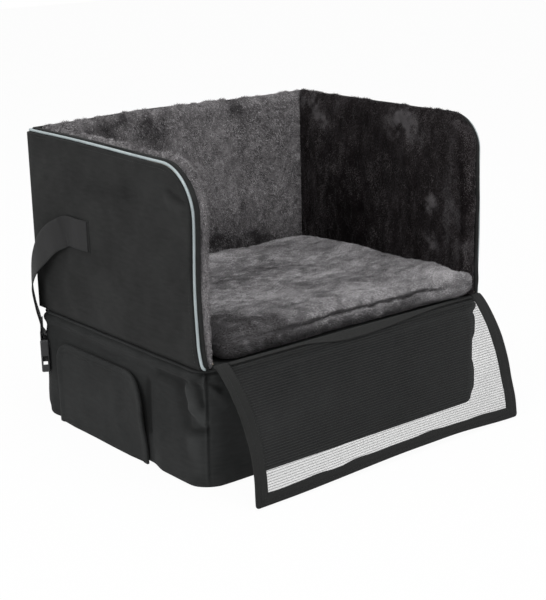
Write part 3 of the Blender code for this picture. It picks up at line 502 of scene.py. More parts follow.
def fuzz(name, piece, label, body, kept):
    """Hairs of a pile, each a slim triangle combed along its nap, on the faces that kept picks."""
    look, seed, length, nap, stretch, fine, broad, single = PILES[label]
    faces = piece.data.polygons
    centres, normals = (read(faces, key).astype(float) for key in ("center", "normal"))
    areas = read(faces, "area", 1)[:, 0]
    chance = np.random.default_rng(seed)
    hairs = np.floor(areas * HAIR_DENSITY + chance.random(len(faces))).astype(int)
    hairs[areas > 0.0001] = 0
    hairs[~kept(centres, normals)] = 0
    pick = np.repeat(np.arange(len(faces)), hairs)
    normal, size = normals[pick], np.sqrt(areas[pick])[:, None]
    loose = chance.normal(size=(len(pick), 3))
    loose -= normal * (loose * normal).sum(1, keepdims=True)
    root = centres[pick] + loose * size * 0.4
    swirl = columns(*(noise(root, 0.045, seed + k) for k in range(3)))
    lay = np.array(nap, float) + swirl * 0.9 + chance.normal(size=root.shape) * 0.45
    lay = unit(lay - normal * (lay * normal).sum(1, keepdims=True))
    clump = 0.8 + 0.35 * noise(root, 0.006, seed + 5)
    reach = length * (0.55 + 0.45 * chance.random(len(pick))) * clump
    upright = 0.5 + 0.4 * ease(normal[:, 2:], 0.3, 0.9) * (abs(nap[2]) > 0)
    tip = root + (lay * 0.86 + normal * upright) * reach[:, None]
    half = unit(np.cross(normal, lay) + normal * 0.3) * HAIR_HALF_WIDTH
    points = np.stack([root - half, root + half, tip], 1).reshape(-1, 3)
    drawn = root * np.array(stretch)
    # the hairs' tones take the painted nap values too, with the cushion's painted shade at its front seam and front
    # left
    tone = (bumps(drawn, (0.007, seed + 7, fine), (0.034, seed + 9, broad))
            + chance.normal(size=len(pick)) * single + nap_and_shade_tone(root, label))
    mesh = bpy.data.meshes.new(name)
    mesh.from_pydata(points.tolist(), [], np.arange(len(points)).reshape(-1, 3).tolist())
    pile = add_piece(name, mesh, look, body, "plush_fabric")
    mesh.polygons.foreach_set("material_index", np.digitize(tone, HAIR_CUTS).astype(np.int32))
    mesh.polygons.foreach_set("use_smooth", np.zeros(len(pick), bool))
    return pile


# Materials

def put(tree, kind, values=(), **settings):
    """Add a node. values gives each socket a value, or the output that feeds it."""
    node = tree.nodes.new("ShaderNode" + kind)
    for key, value in settings.items():
        setattr(node, key, value)
    for key, value in dict(values).items():
        if isinstance(value, bpy.types.NodeSocket):
            tree.links.new(value, node.inputs[key])
        else:
            node.inputs[key].default_value = value
    return node


def speckle(tree, where, size, detail=2.0, distortion=0.0, stretch=None):
    """Noise with bumps of a size in metres, drawn out along the axes that stretch shortens."""
    if stretch:
        where = put(tree, "Mapping", {"Vector": where, "Scale": stretch}).outputs[0]
    values = {"Vector": where, "Scale": 1 / size, "Detail": detail, "Distortion": distortion}
    return put(tree, "TexNoise", values).outputs[0]


def cells(tree, where, size):
    return put(tree, "TexVoronoi", {"Vector": where, "Scale": 1 / size}).outputs["Distance"]


def bands(tree, where, period, direction, distortion=0.0):
    """Even ribs of one period in metres."""
    turn = math.pi / 10
    values = {"Vector": where, "Scale": turn / period, "Distortion": distortion, "Detail": 1.0,
              "Detail Scale": 1.5}
    return put(tree, "TexWave", values, bands_direction=direction).outputs["Fac"]


def maths(tree, operation, first, second):
    return put(tree, "Math", {0: first, 1: second}, operation=operation).outputs[0]


def sums(tree, *terms):
    """Weighted sum of outputs, given as (output, weight) pairs."""
    total = None
    for output, weight in terms:
        scaled = maths(tree, "MULTIPLY", output, weight)
        total = maths(tree, "ADD", total, scaled) if total else scaled
    return total


def shades(colour, *factors):
    return [tuple(channel * factor for channel in colour) for factor in factors]


def new_look(name):
    """A material with its node tree, and its places in the object and in the cloth."""
    material = bpy.data.materials.new(name)
    material.use_nodes = True
    where = put(material.node_tree, "TexCoord").outputs
    return material, material.node_tree, where["Object"], where["UV"]


def finish_look(material, factor, cuts, colours, height, depth, roughness, sheen=0.0, sheen_roughness=0.5,
                shine=0.3, sheen_tint=(1.0, 1.0, 1.0)):
    """Colours that change at the cuts of a factor, a bump with a depth in metres, and the shader's values."""
    tree = material.node_tree
    shader = tree.nodes["Principled BSDF"]
    ramp = put(tree, "ValToRGB", {"Fac": factor})
    stops = ramp.color_ramp.elements
    while len(stops) < len(cuts):
        stops.new(0.5)
    for stop, cut, colour in zip(stops, cuts, colours):
        stop.position = cut
        stop.color = (*colour, 1.0)
    tree.links.new(ramp.outputs[0], shader.inputs["Base Color"])
    bump = put(tree, "Bump", {"Height": height, "Distance": depth, "Strength": 1.0})
    tree.links.new(bump.outputs[0], shader.inputs["Normal"])
    for key, value in {"Roughness": roughness, "Sheen Weight": sheen, "Sheen Roughness": sheen_roughness,
                       "Sheen Tint": (*sheen_tint, 1.0), "Specular IOR Level": shine}.items():
        shader.inputs[key].default_value = value
    return [material]


def cloth(name, colour, pitch=0.0009, roughness=0.85, sheen=0.04, mottle=0.14):
    """Plain weave, drawn in the cloth's own metres, with uneven dyeing, stray lint, painted shade in fold valleys and
    painted highlight on fold ridges.
    """
    material, tree, place, uv = new_look(name)
    weave = maths(tree, "MULTIPLY", bands(tree, uv, pitch, "X", 0.4), bands(tree, uv, pitch, "Y", 0.4))
    dye = speckle(tree, place, 0.06, 3.0, 0.6)
    slub = speckle(tree, uv, 0.004, 2.0, 0.0, (0.25, 1.0, 1.0))
    # painted light and shade: these painted fold values darken the cloth in fold valleys and lighten it on fold ridges
    fold_shading = put(tree, "Attribute", attribute_name="fold_shading").outputs["Fac"]
    factor = sums(tree, (weave, 0.35), (dye, 0.4), (slub, 0.25), (fold_shading, 0.3))
    return finish_look(material, factor, (0.15, 0.45, 0.75), shades(colour, 1 - mottle * 2, 1.0, 1 + mottle * 2),
                       sums(tree, (weave, 0.8), (slub, 0.5)), 0.00012, roughness, sheen, 0.4, 0.1)


def ribbed(name, colour, pitch, direction="X", roughness=0.8, depth=0.0002, shine=0.12):
    """Ribs in one direction crossed by finer threads, for webbing, tape and yarn."""
    material, tree, place, uv = new_look(name)
    rib = bands(tree, uv, pitch, direction, 0.15)
    thread = bands(tree, uv, pitch / 2.5, "Y" if direction == "X" else "X", 0.3)
    fine = speckle(tree, place, 0.003, 2.0)
    factor = sums(tree, (rib, 0.45), (thread, 0.25), (fine, 0.3))
    return finish_look(material, factor, (0.2, 0.5, 0.85), shades(colour, 0.62, 1.0, 1.4),
                       sums(tree, (rib, 0.8), (thread, 0.3)), depth, roughness, 0.03, 0.4, shine)


def plush(name, colours, cuts, stretch=(1.0, 1.0, 0.45)):
    """Brushed pile: light and dark patches where the nap lies differently, over fine fibre noise, and the painted nap
    values, which on the cushion hold painted shade too.
    """
    material, tree, place, _ = new_look(name)
    patch = speckle(tree, place, 0.075, 3.0, 0.8, stretch)
    clump = speckle(tree, place, 0.013, 3.0, 0.5, stretch)
    fibre = speckle(tree, place, 0.0022, 3.0, 0.2)
    # the painted nap values hold painted shade on the cushion, at its seam and front left
    nap = put(tree, "Attribute", attribute_name="nap").outputs["Fac"]
    factor = sums(tree, (patch, 0.4), (clump, 0.3), (fibre, 0.3), (nap, 0.22))
    return finish_look(material, factor, cuts, colours, sums(tree, (clump, 0.5), (fibre, 0.6)), 0.0018, 1.0,
                       0.25, 0.35, 0.0, (0.75, 0.73, 0.75))


def hair_looks(name, *colours):
    """Plain looks for single hairs, from dark to light."""
    looks = []
    for k, colour in enumerate(colours):
        looks.append(bpy.data.materials.new(f"{name}_{k}"))
        looks[-1].use_nodes = True
        values = looks[-1].node_tree.nodes["Principled BSDF"].inputs
        values["Base Color"].default_value = (*colour, 1.0)
        values["Roughness"].default_value = 1.0
        values["Specular IOR Level"].default_value = 0.0
    return looks


def grainy(name, colour, grain, patch, weights, cuts, factors, depth, roughness, shine, detail=3.0, wild=0.0,
           celled=True):
    """Grains or cells of one size in metres, over patches of another, for tape, plastic, foam and board."""
    material, tree, place, _ = new_look(name)
    fine = cells(tree, place, grain) if celled else speckle(tree, place, grain)
    factor = sums(tree, (fine, weights[0]), (speckle(tree, place, patch, detail, wild), weights[1]))
    return finish_look(material, factor, cuts, shades(colour, *factors), fine, depth, roughness, shine=shine)


def bulk(name, colour, size, roughness=0.95, depth=0.0004):
    """Foam or fibre board: cells or fibres of one size."""
    return grainy(name, colour, size, size * 12, (0.5, 0.5), (0.2, 0.5, 0.8), (0.7, 1.0, 1.15), depth, roughness,
                  0.2)


def make_materials():
    """The looks by name, each a list of materials."""
    black = (0.0225, 0.023, 0.0228)
    greys = ((0.055, 0.052, 0.054), (0.145, 0.138, 0.142), (0.3, 0.288, 0.295))
    # painted shade: the right wall's plush is the same fabric as the back and left, made darker for its nap and for
    # the shade that falls on it
    shaded_pile_colours = ((0.008, 0.0068, 0.007), (0.02, 0.0172, 0.018), (0.095, 0.09, 0.094))
    # painted light: the cushion's plush is the same fabric, made lighter for the light on its top and for its nap
    lit_seat_colours = ((0.08, 0.077, 0.08), (0.16, 0.155, 0.16), (0.28, 0.271, 0.278))
    return {
        "cover": cloth("cover_weave", black, mottle=0.3),
        "base": cloth("base_weave", (0.025, 0.026, 0.026), mottle=0.3),
        "deck": cloth("deck_weave", (0.02, 0.02, 0.021), 0.0012, 0.9, 0.02),
        "tape": ribbed("binding_tape", (0.0235, 0.024, 0.0236), 0.0011, "X"),
        "webbing": ribbed("strap_webbing", (0.022, 0.022, 0.0225), 0.0016, "Y", 0.7, 0.0003, 0.15),
        "yarn": ribbed("net_yarn", (0.05, 0.051, 0.051), 0.0012, "Y", 0.7, 0.0001, 0.15),
        "thread": ribbed("sewing_thread", (0.045, 0.046, 0.046), 0.0007, "X", 0.55, 0.00005),
        "plush_back": plush("plush_back", greys, (0.38, 0.5, 0.66)),
        "plush_left": plush("plush_left", greys, (0.36, 0.49, 0.64)),
        # painted shade: the right wall's copy of the plush is darkened for shade as well as nap
        "plush_right": plush("plush_right", shaded_pile_colours, (0.42, 0.53, 0.72), (1.0, 1.0, 0.35)),
        # painted light: the cushion's copy of the plush is lightened for light from above as well as nap
        "plush_cushion_painted_light": plush("plush_cushion_painted_light", lit_seat_colours, (0.34, 0.5, 0.66), (0.45, 1.0, 1.0)),
        "hair_grey": hair_looks("hair_grey", (0.018, 0.017, 0.018), (0.048, 0.045, 0.047), (0.132, 0.126, 0.13),
                                (0.26, 0.25, 0.256), (0.47, 0.455, 0.464)),
        # painted shade: the right wall's hairs are darkened for shade as well as nap
        "hair_dark_painted_shade": hair_looks("hair_dark_painted_shade", (0.0048, 0.0042, 0.0043), (0.0082, 0.0069, 0.0071),
                                (0.0205, 0.0175, 0.0182), (0.051, 0.045, 0.0465), (0.128, 0.118, 0.12)),
        # painted light: the cushion's hairs are lightened for light from above as well as nap
        "hair_seat_painted_light": hair_looks("hair_seat_painted_light", (0.028, 0.026, 0.026), (0.072, 0.07, 0.072), (0.165, 0.16, 0.165),
                                (0.29, 0.282, 0.29), (0.48, 0.468, 0.478)),
        "piping": grainy("piping_tape", (0.33, 0.38, 0.39), 0.0007, 0.02, (0.3, 0.7), (0.2, 0.45, 0.75),
                         (0.75, 1.0, 1.18), 0.00015, 0.42, 0.6, 4.0, 0.4),
        "plastic": grainy("buckle_plastic", (0.014, 0.014, 0.015), 0.0006, 0.012, (0.4, 0.6), (0.3, 0.5, 0.7),
                          (0.8, 1.0, 1.3), 0.00006, 0.42, 0.5, 2.0, celled=False),
        "foam": bulk("foam_cells", (0.55, 0.54, 0.5), 0.0015),
        "board": bulk("board_fibre", (0.32, 0.26, 0.19), 0.001, 0.85, 0.0002),
        "grip": bulk("grip_pile", (0.018, 0.018, 0.018), 0.0012, 0.95, 0.0006),
    }


# Camera, lights and floor

def make_camera():
    back = Vector((math.sin(CAMERA_TURN) * math.cos(CAMERA_RISE),
                   -math.cos(CAMERA_TURN) * math.cos(CAMERA_RISE), math.sin(CAMERA_RISE)))
    right = Vector((math.cos(CAMERA_TURN), math.sin(CAMERA_TURN), 0))
    up = back.cross(right)
    across = right * math.cos(CAMERA_ROLL) + up * math.sin(CAMERA_ROLL)
    upward = up * math.cos(CAMERA_ROLL) - right * math.sin(CAMERA_ROLL)
    data = bpy.data.cameras.new("camera")
    data.sensor_width = SENSOR
    data.lens = FOCAL_PIXELS * SENSOR / PICTURE_HEIGHT
    camera = bpy.data.objects.new("camera", data)
    bpy.context.scene.collection.objects.link(camera)
    camera.matrix_world = Matrix.Translation(CAMERA_PLACE) @ Matrix((across, upward, back)).transposed().to_4x4()
    bpy.context.scene.camera = camera


def add_lamp(name, place, target, size, power):
    data = bpy.data.lights.new(name, "AREA")
    data.shape = "DISK"
    data.size = size
    data.energy = power
    lamp = bpy.data.objects.new(name, data)
    bpy.context.scene.collection.objects.link(lamp)
    lamp.location = place
    lamp.rotation_mode = "QUATERNION"
    lamp.rotation_quaternion = (Vector(target) - Vector(place)).to_track_quat("-Z", "Y")


def seen_rays(tree):
    """1 for rays that show the background: straight from the camera, or by way of gloss or glass."""
    path = put(tree, "LightPath").outputs
    first = maths(tree, "MAXIMUM", path["Is Camera Ray"], path["Is Glossy Ray"])
    return maths(tree, "MAXIMUM", first, path["Is Transmission Ray"])


def make_world():
    ambient, white = 0.5, (1.0, 1.0, 1.0, 1.0)
    world = bpy.data.worlds.new("studio")
    bpy.context.scene.world = world
    world.use_nodes = True
    tree = world.node_tree
    light = put(tree, "Background", {"Color": white, "Strength": ambient})
    shown = put(tree, "Background", {"Color": white, "Strength": 1.0})
    mix = put(tree, "MixShader", {0: seen_rays(tree), 1: light.outputs[0], 2: shown.outputs[0]})
    tree.links.new(mix.outputs[0], tree.nodes["World Output"].inputs["Surface"])


def make_floor():
    """A pale floor that shows white where it isn't shaded."""
    size, clearance, shadow_share = 12.0, 0.0006, 0.04
    material = bpy.data.materials.new("studio_floor")
    material.use_nodes = True
    tree = material.node_tree
    tree.nodes.remove(tree.nodes["Principled BSDF"])
    pale = put(tree, "BsdfDiffuse", {"Color": (0.8, 0.8, 0.8, 1.0)})
    white = put(tree, "Emission", {"Color": (1.0, 1.0, 1.0, 1.0), "Strength": 1.0})
    share = maths(tree, "MULTIPLY", seen_rays(tree), 1 - shadow_share)
    mix = put(tree, "MixShader", {0: share, 1: pale.outputs[0], 2: white.outputs[0]})
    tree.links.new(mix.outputs[0], tree.nodes["Material Output"].inputs["Surface"])
    bpy.ops.mesh.primitive_plane_add(size=size, location=(0, 0, -clearance))
    floor = bpy.context.object
    floor.name = "floor"
    floor.data.materials.append(material)


def make_studio():
    bpy.context.scene.view_settings.view_transform = "Standard"
    make_camera()
    make_world()
    middle = (0, 0, BASE_HIGH.z)
    add_lamp("top_lamp", (-0.3, -0.5, 2.6), middle, 2.0, 40)
    add_lamp("left_lamp", (-3.0, -0.6, 1.4), middle, 1.8, 30)
    add_lamp("front_lamp", (0.6, -3.0, 1.4), middle, 1.8, 3)
    make_floor()


# Base: a soft box of cloth with a seam in each corner

# Runs for folds: the crumples at the front corners, then slow creases. They also paint shade into the valleys and a
# highlight onto the ridges.
BASE_FOLDS = [
    (-0.2225, FLAP_LOW.y - 0.0035, 0.104, -0.2225, FLAP_LOW.y - 0.003, 0.045, 0.0048, -0.004),
    (-0.2165, -0.17, 0.137, -0.2175, -0.1712, 0.104, 0.0026, 0.003),
    (-0.2225, -0.161, 0.128, -0.2195, -0.168, 0.102, 0.004, -0.0034),
    (-0.2225, -0.147, 0.118, -0.2225, -0.157, 0.098, 0.0062, 0.0038),
    (-0.2225, -0.157, 0.098, -0.218, -0.17, 0.082, 0.005, 0.004),
    (-0.2225, -0.133, 0.118, -0.2225, -0.144, 0.074, 0.009, -0.0026),
    (-0.2225, -0.156, 0.058, -0.22, -0.165, 0.024, 0.01, 0.0028),
    (-0.218, -0.169, 0.072, -0.2225, -0.154, 0.068, 0.005, -0.0028),
    (-0.212, -0.172, 0.141, -0.2175, -0.169, 0.139, 0.003, -0.0034),
    (-0.2225, -0.09, 0.122, -0.2225, -0.145, 0.126, 0.005, -0.0016),
    (-0.2135, -0.171, 0.133, -0.2, -0.1755, 0.118, 0.0035, -0.003),
    (-0.21, -0.1735, 0.124, -0.195, -0.1765, 0.1, 0.006, 0.002),
    (0.208, -0.1745, 0.136, 0.217, -0.169, 0.128, 0.005, 0.0026),
    (0.2165, -0.169, 0.116, 0.219, -0.166, 0.096, 0.007, 0.003),
    (0.2165, -0.169, 0.078, 0.219, -0.166, 0.062, 0.007, -0.003),
    (0.2165, -0.169, 0.04, 0.219, -0.166, 0.02, 0.012, 0.0024),
    (-0.12, 0.177, 0.118, 0.04, 0.177, 0.108, 0.012, 0.002),
    (0.06, 0.177, 0.07, 0.15, 0.177, 0.052, 0.014, 0.0018),
    (0.2225, 0.15, 0.12, 0.22, 0.16, 0.07, 0.007, 0.0022),
    (-0.15, -0.177, 0.06, -0.05, -0.177, 0.074, 0.02, 0.002),
]


def base_profile():
    """Height and outward offset of the base's side, from the underside up to the groove."""
    lower = [(BASE_ROLL * (1 - math.cos(a)), BASE_ROLL * (math.sin(a) - 1))
             for a in np.linspace(0, math.pi / 2, 7)]
    stops = np.array([(BASE_ROLL, 0.0), (0.03, 0.0006), (0.06, 0.001), (0.09, 0.0008), (0.112, 0.0004),
                      (0.121, -0.0012), (0.1265, 0.0), (0.132, 0.0034), (0.137, 0.0006), (0.14, -0.0014),
                      (0.1442, -0.0017), (0.1455, -0.004)])
    heights = spread(BASE_ROLL, BASE_HIGH.z - 0.0008, 0.002)[1:]
    return [(0, -BASE_ROLL * 1.6)] + lower + list(zip(heights, np.interp(heights, *stops.T)))


def corner_seams(points):
    """A sunk seam down the middle of each round corner."""
    inset = BASE_RADIUS * (1 - math.sqrt(0.5))
    total = np.zeros(len(points))
    for sx, sy in itertools.product((-1, 1), repeat=2):
        x, y = sx * (BASE_HIGH.x - inset), sy * (BASE_HIGH.y - inset)
        across = ((points[:, 0] - x) * sx - (points[:, 1] - y) * sy) * math.sqrt(0.5)
        near = np.hypot(points[:, 0] - x, points[:, 1] - y) < 0.02
        sunk = 0.0012 + 0.001 * ease(points[:, 2], 0.03, 0.08)
        total += near * (0.0013 * bell(across - 0.0008, 0.001) - sunk * bell(across + 0.0018, 0.0014))
    return total


def base_relief(points, normals):
    x, y, z = points.T
    high = BASE_HIGH.z
    side = ease(z, 0.004, 0.02) * (1 - ease(z, high - 0.012, high - 0.004))
    under_flap = (ease(np.abs(x), BASE_HIGH.x - 0.003, BASE_HIGH.x - 0.001) * (1 - ease(z, 0.108, 0.114))
                  * ease(y, FLAP_LOW.y - 0.012, FLAP_LOW.y) * (1 - ease(y, FLAP_HIGH.y, FLAP_HIGH.y + 0.012)))
    loose = side * (1 - under_flap)
    swell = layered(points, 0.085, 11) * 0.0016 + layered(points, 0.022, 17, 2) * 0.00035
    bent = np.maximum(folds(points, BASE_FOLDS), -0.0012)
    return loose * (swell + 0.0004) + side * bent * (1 - under_flap) + side * corner_seams(points)


def base_set(points):
    """The stuffing's set: the side's foot swells before the front corner, and the rear corners are full."""
    x, y, z = points.T
    side = np.sign(x)
    low = 1 - ease(z, 0.01, 0.085)
    ahead = ease(FLAP_LOW.y - y, 0.0005, 0.034) * (1 - ease(-y, 0.146, 0.18))
    swell = 0.0065 * low * ahead * ease(np.abs(x), 0.17, 0.215) * (side < 0)
    front, rear = (bell(np.hypot(np.abs(x) - 0.2155, y - end), width)
                   for end, width in ((-0.1695, 0.02), (0.1695, 0.019)))
    tuck = 0.0016 * front * low * (side < 0)
    fill = rear * (0.0024 + 0.0034 * (1 - ease(z, 0.012, 0.06)))
    return columns(side * (fill * 0.78 - tuck * 0.7 + swell), fill * 0.62 + tuck * 0.7, 0)


def make_base():
    outline, directions = round_outline(BASE_HIGH.x, BASE_HIGH.y, BASE_RADIUS, 0.0024)
    base = surface("base_cloth", rings(outline, directions, base_profile()), "base", replaced=["base_cover"])
    flat = read_points(base)[0]
    # painted shade and highlight: the cloth is darker in the folds' valleys and the corner seams' grooves, lighter on
    # their ridges
    paint(base, "fold_shading", np.clip((folds(flat, BASE_FOLDS) + corner_seams(flat)) / 0.0032, -1, 1))
    displace(base, base_relief)
    shift_points(base, base_set)
    roll = rings(outline, directions, [(BASE_HIGH.z - SEAM_ROLL_DROP, 0.0004)])[0]
    roll[:, 2] += noise(roll, 0.03, 5) * 0.0007
    roll = np.concatenate([roll, roll[:1]])
    tube("base_seam_roll", roll + base_set(roll), SEAM_ROLL_RADIUS, (0, 0, 1), "base", 8,
         replaced=["base_rim_binding"])
    edge = 0.0052
    xs, ys = (spread(edge - half, half - edge, 0.006) for half in (BASE_HIGH.x, BASE_HIGH.y))
    deck = pad("deck_cloth", columns(xs, ys[:, None], BASE_HIGH.z - 0.001), (0, 0, 1),
               [(0.0008, 0.0006), (0.001, 0.0015), (0, 0.0022)], "deck", replaced=["base_deck"])
    displace(deck, lambda points, normals: layered(points, 0.05, 23) * 0.0003 * (normals[:, 2] > 0.5))


# Walls

# Runs for folds in each wall's outer cloth. On the side walls they also paint shade into the valleys and a highlight
# onto the ridges.
COVER_FOLDS = {
    "left": on_plane(0, -0.225, (-0.132, 0.343, -0.157, 0.336, 0.0042, -0.0022),
                     (-0.128, 0.334, -0.151, 0.326, 0.0058, 0.0018), (-0.06, 0.33, 0.06, 0.322, 0.012, -0.001),
                     (0.17, 0.23, 0.15, 0.175, 0.009, 0.0015), (-0.16, 0.2, -0.15, 0.16, 0.012, 0.0012)),
    "right": on_plane(0, 0.225, (-0.1, 0.296, -0.07, 0.312, 0.007, -0.001),
                      (0.12, 0.17, 0.165, 0.215, 0.01, 0.0012)),
    "back": on_plane(1, 0.178, (-0.18, 0.19, -0.12, 0.165, 0.01, 0.0012),
                     (0.15, 0.32, 0.19, 0.35, 0.008, 0.001)),
}


def side_rows(side, inset, low, pitch, flared=1.0):
    """Heights and front edges of the rows of a side wall's face, up to and round its corner."""
    corner = WALL_RADII[side]
    bend, radius = WALL_TOP - corner, corner - inset
    straight = spread(low, bend, pitch)
    share = np.clip((straight - WALL_BOTTOM) / (bend - WALL_BOTTOM), 0, 1)
    flare = FRONT_FLARES[side] * flared * np.clip(1 - (straight - WALL_BOTTOM) / FLARE_HEIGHT, 0, 1) ** 2
    fronts = WALL_FRONT_Y - flare + FRONT_RECESSES[side] * np.sin(math.pi * share) ** 2
    turn = spread(0, math.pi / 2, pitch / radius)[1:]
    return (np.concatenate([straight, bend + radius * np.sin(turn)]),
            np.concatenate([fronts + inset, WALL_FRONT_Y + corner - radius * np.cos(turn)]))


def side_face(side, x, inset, low, rear, pitch, flared=1.0):
    heights, fronts = side_rows(side, inset, low, pitch, flared)
    shares = np.linspace(0, 1, int(round((rear - WALL_FRONT_Y) / pitch)) + 1)
    return columns(side * x, fronts[:, None] + (rear - fronts[:, None]) * shares, heights[:, None])


def back_face(y, inset, low, half, pitch):
    return columns(spread(-half, half, pitch), y, spread(low, WALL_TOP - inset, pitch)[:, None])


def wall_set(side):
    """How the sewn walls stand: the left top falls to the front, the right front leans out, the back slopes."""
    def shift(points):
        x, y, z = points.T
        ahead, high = ease(-y, -0.1, 0.13), ease(z, 0.27, WALL_TOP)
        out = 0
        if side < 0:
            up = -0.0028 * ahead * high
            pinch = ease(-y, 0.1, 0.165) * ease(HALF_WIDTH + x, 0.01, 0.027)
            out = -pinch * (0.003 + 0.003 * (1 - ease(z, 0.17, 0.26)))
        elif side > 0:
            up = -0.0006 * (1 - ahead) * high
            out = 0.003 * ease(-y, 0.05, 0.17)
        else:
            up = (0.003 * bell(x + 0.05, 0.09) - 0.0006 * ease(x, 0, 0.18)) * high
        return columns(out, 0, up)
    return shift


def wall_clamp(side, plush):
    """Keep a wall's turned border above its foot and clear of the walls beside it."""
    def clamp(ring, back):
        x, y, z = ring.T
        if side:
            rear = np.abs(x) + (BACK_Y - HALF_WIDTH) - GAP if plush else BACK_Y - GAP - back
            y = np.minimum(y, rear)
        else:
            end = y + (HALF_WIDTH - BACK_Y) - GAP if plush else HALF_WIDTH - back - GAP
            x = np.clip(x, -end, end)
        return columns(x, y, np.maximum(z, WALL_BOTTOM + GAP * plush))
    return clamp


def soft_edge(distance, radius):
    """How far a rounded edge falls away at a distance from it."""
    short = np.clip(radius - distance, 0, radius)
    return radius - np.sqrt(radius**2 - short**2)


def cover_rim():
    """The outer cloth turns over, dips into the piping's seat and goes on over the gusset."""
    step = 0.0015
    return [(step * 0.55, step * 0.15), (step * 0.9, step * 0.5), (step, step), (step, PIPING_SEAT - GAP),
            (PIPING_SEAT + step * 0.6, PIPING_SEAT + GAP), (PIPING_SEAT + step, PIPING_SEAT + step * 0.6),
            (PIPING_SEAT + step, GUSSET_END - step), (PIPING_SEAT + step * 0.6, GUSSET_END),
            (0, GUSSET_END)]


def facing_rim():
    """The pile rolls over the edge, swells past it and dips into its seam."""
    angles = spread(0, math.pi / 2, FACING_PITCH / FACING_ROLL)[1:]
    roll = [(FACING_ROLL * math.sin(a), FACING_ROLL * (1 - math.cos(a))) for a in angles]
    depths = spread(FACING_ROLL, FACING_DEPTH, 0.0014)[1:]
    dip = FACING_ROLL - 0.0022 * ease(depths, FACING_DEPTH - 0.004, FACING_DEPTH)
    rim = np.concatenate([roll, columns(dip, depths)])
    share = np.clip(rim[:, 1] / FACING_DEPTH, 0, 1)
    rim[:, 0] += FACING_PUFF * np.sin(math.pi * share ** 0.8)
    return rim.tolist() + [(FACING_ROLL * 0.5, FACING_DEPTH)]


def cover_relief(label, side):
    """Padding and folds of the outer cloth, with rounded seams at the bottom and at the rear corners."""
    def relief(points, normals):
        x, y, z = points.T
        outer, rear = (normals[:, 0] * side, BACK_Y - y) if side else (normals[:, 1], HALF_WIDTH - np.abs(x))
        foot = z - WALL_BOTTOM
        inner = ease(np.minimum(rear, foot), 0.0, 0.02)
        drawn = columns(x, y + z * 0.6, z * 0.55)
        drape = bumps(drawn, (0.075, 31, 0.0019), (0.026, 37, 0.00075)) + noise(points, 0.011, 39) * 0.00024
        rise = inner * (drape + 0.0004) + folds(points, COVER_FOLDS[label]) * inner
        low = 1 - ease(foot, 0.004, 0.014)
        fall = np.minimum(soft_edge(rear, REAR_SOFTNESS), REAR_SOFTNESS - (REAR_SOFTNESS - 0.0012) * low)
        fall += np.minimum(soft_edge(foot, FOOT_SOFTNESS), 0.0018 - 0.001 * (rear < 0.004))
        return (outer > 0.7) * (rise - fall)
    return relief


def plush_relief(points, normals):
    """Tufts of the pile over slow swelling of the padding, with a ragged top."""
    drawn = points * (1.0, 1.0, 0.6)
    ragged = ease(normals[:, 2], 0.2, 0.8) * bumps(points, (0.01, 45, 0.0014), (0.0042, 46, 0.001))
    return ragged + (bumps(points, (0.07, 41, 0.0013), (0.035, 42, 0.0006)) + noise(drawn, 0.016, 43) * 0.0009
                     + noise(drawn, 0.0065, 47) * 0.0009 + noise(points, 0.0032, 53) * 0.0007 + 0.0002)


def shown_pile(points, normals):
    """The part of a wall's pile above the cushion's underside."""
    return points[:, 2] > WALL_BOTTOM + 0.004


def side_piping(side):
    """Path of a side wall's piping, and of the stitches beside it on the outer face."""
    heights, fronts = side_rows(side, PIPING_INSET, WALL_BOTTOM + PIPING_RADIUS, 0.003)
    rear = spread(fronts[-1], BACK_Y - PIPING_INSET, 0.006)[1:]
    path = columns(side * (HALF_WIDTH - PIPING_INSET), np.concatenate([fronts, rear]),
                   np.concatenate([heights, np.full(len(rear), heights[-1])]))
    tail = path[0] + np.array([(-side * 0.0034, -0.0012, -0.0012), (-side * 0.0018, -0.0008, -0.0006),
                               (-side * 0.0006, -0.0004, 0.0)])
    path = resample(np.concatenate([tail, path[1:]]), 0.0024)
    path = path + columns(side * noise(path, 0.05, 3) * 0.0004, noise(path, 0.06, 7) * 0.0003,
                          noise(path, 0.07, 9) * 0.0003)
    path = path + wall_set(side)(path)
    sewn = path[5:-3]
    inward = unit(np.cross(unit(np.gradient(sewn, axis=0)), (side, 0, 0)))
    if (((0, BACK_Y, 0) - sewn) * inward).sum() < 0:
        inward = -inward
    seam = sewn + inward * PIPING_SEAM
    seam[:, 0] = side * (HALF_WIDTH + 0.0006)
    return path, seam


def back_piping():
    """Path of the back wall's piping, and of the stitches below it."""
    xs = spread(-(HALF_WIDTH - PIPING_INSET), HALF_WIDTH - PIPING_INSET, 0.005)
    path = columns(xs, BACK_Y - PIPING_INSET, WALL_TOP - PIPING_INSET)
    path[:, 2] += noise(path, 0.06, 13) * 0.0003
    seam = columns(xs[1:-1], BACK_Y + 0.0006, WALL_TOP - PIPING_INSET - PIPING_SEAM)
    return [run + wall_set(0)(run) for run in (path, seam)]


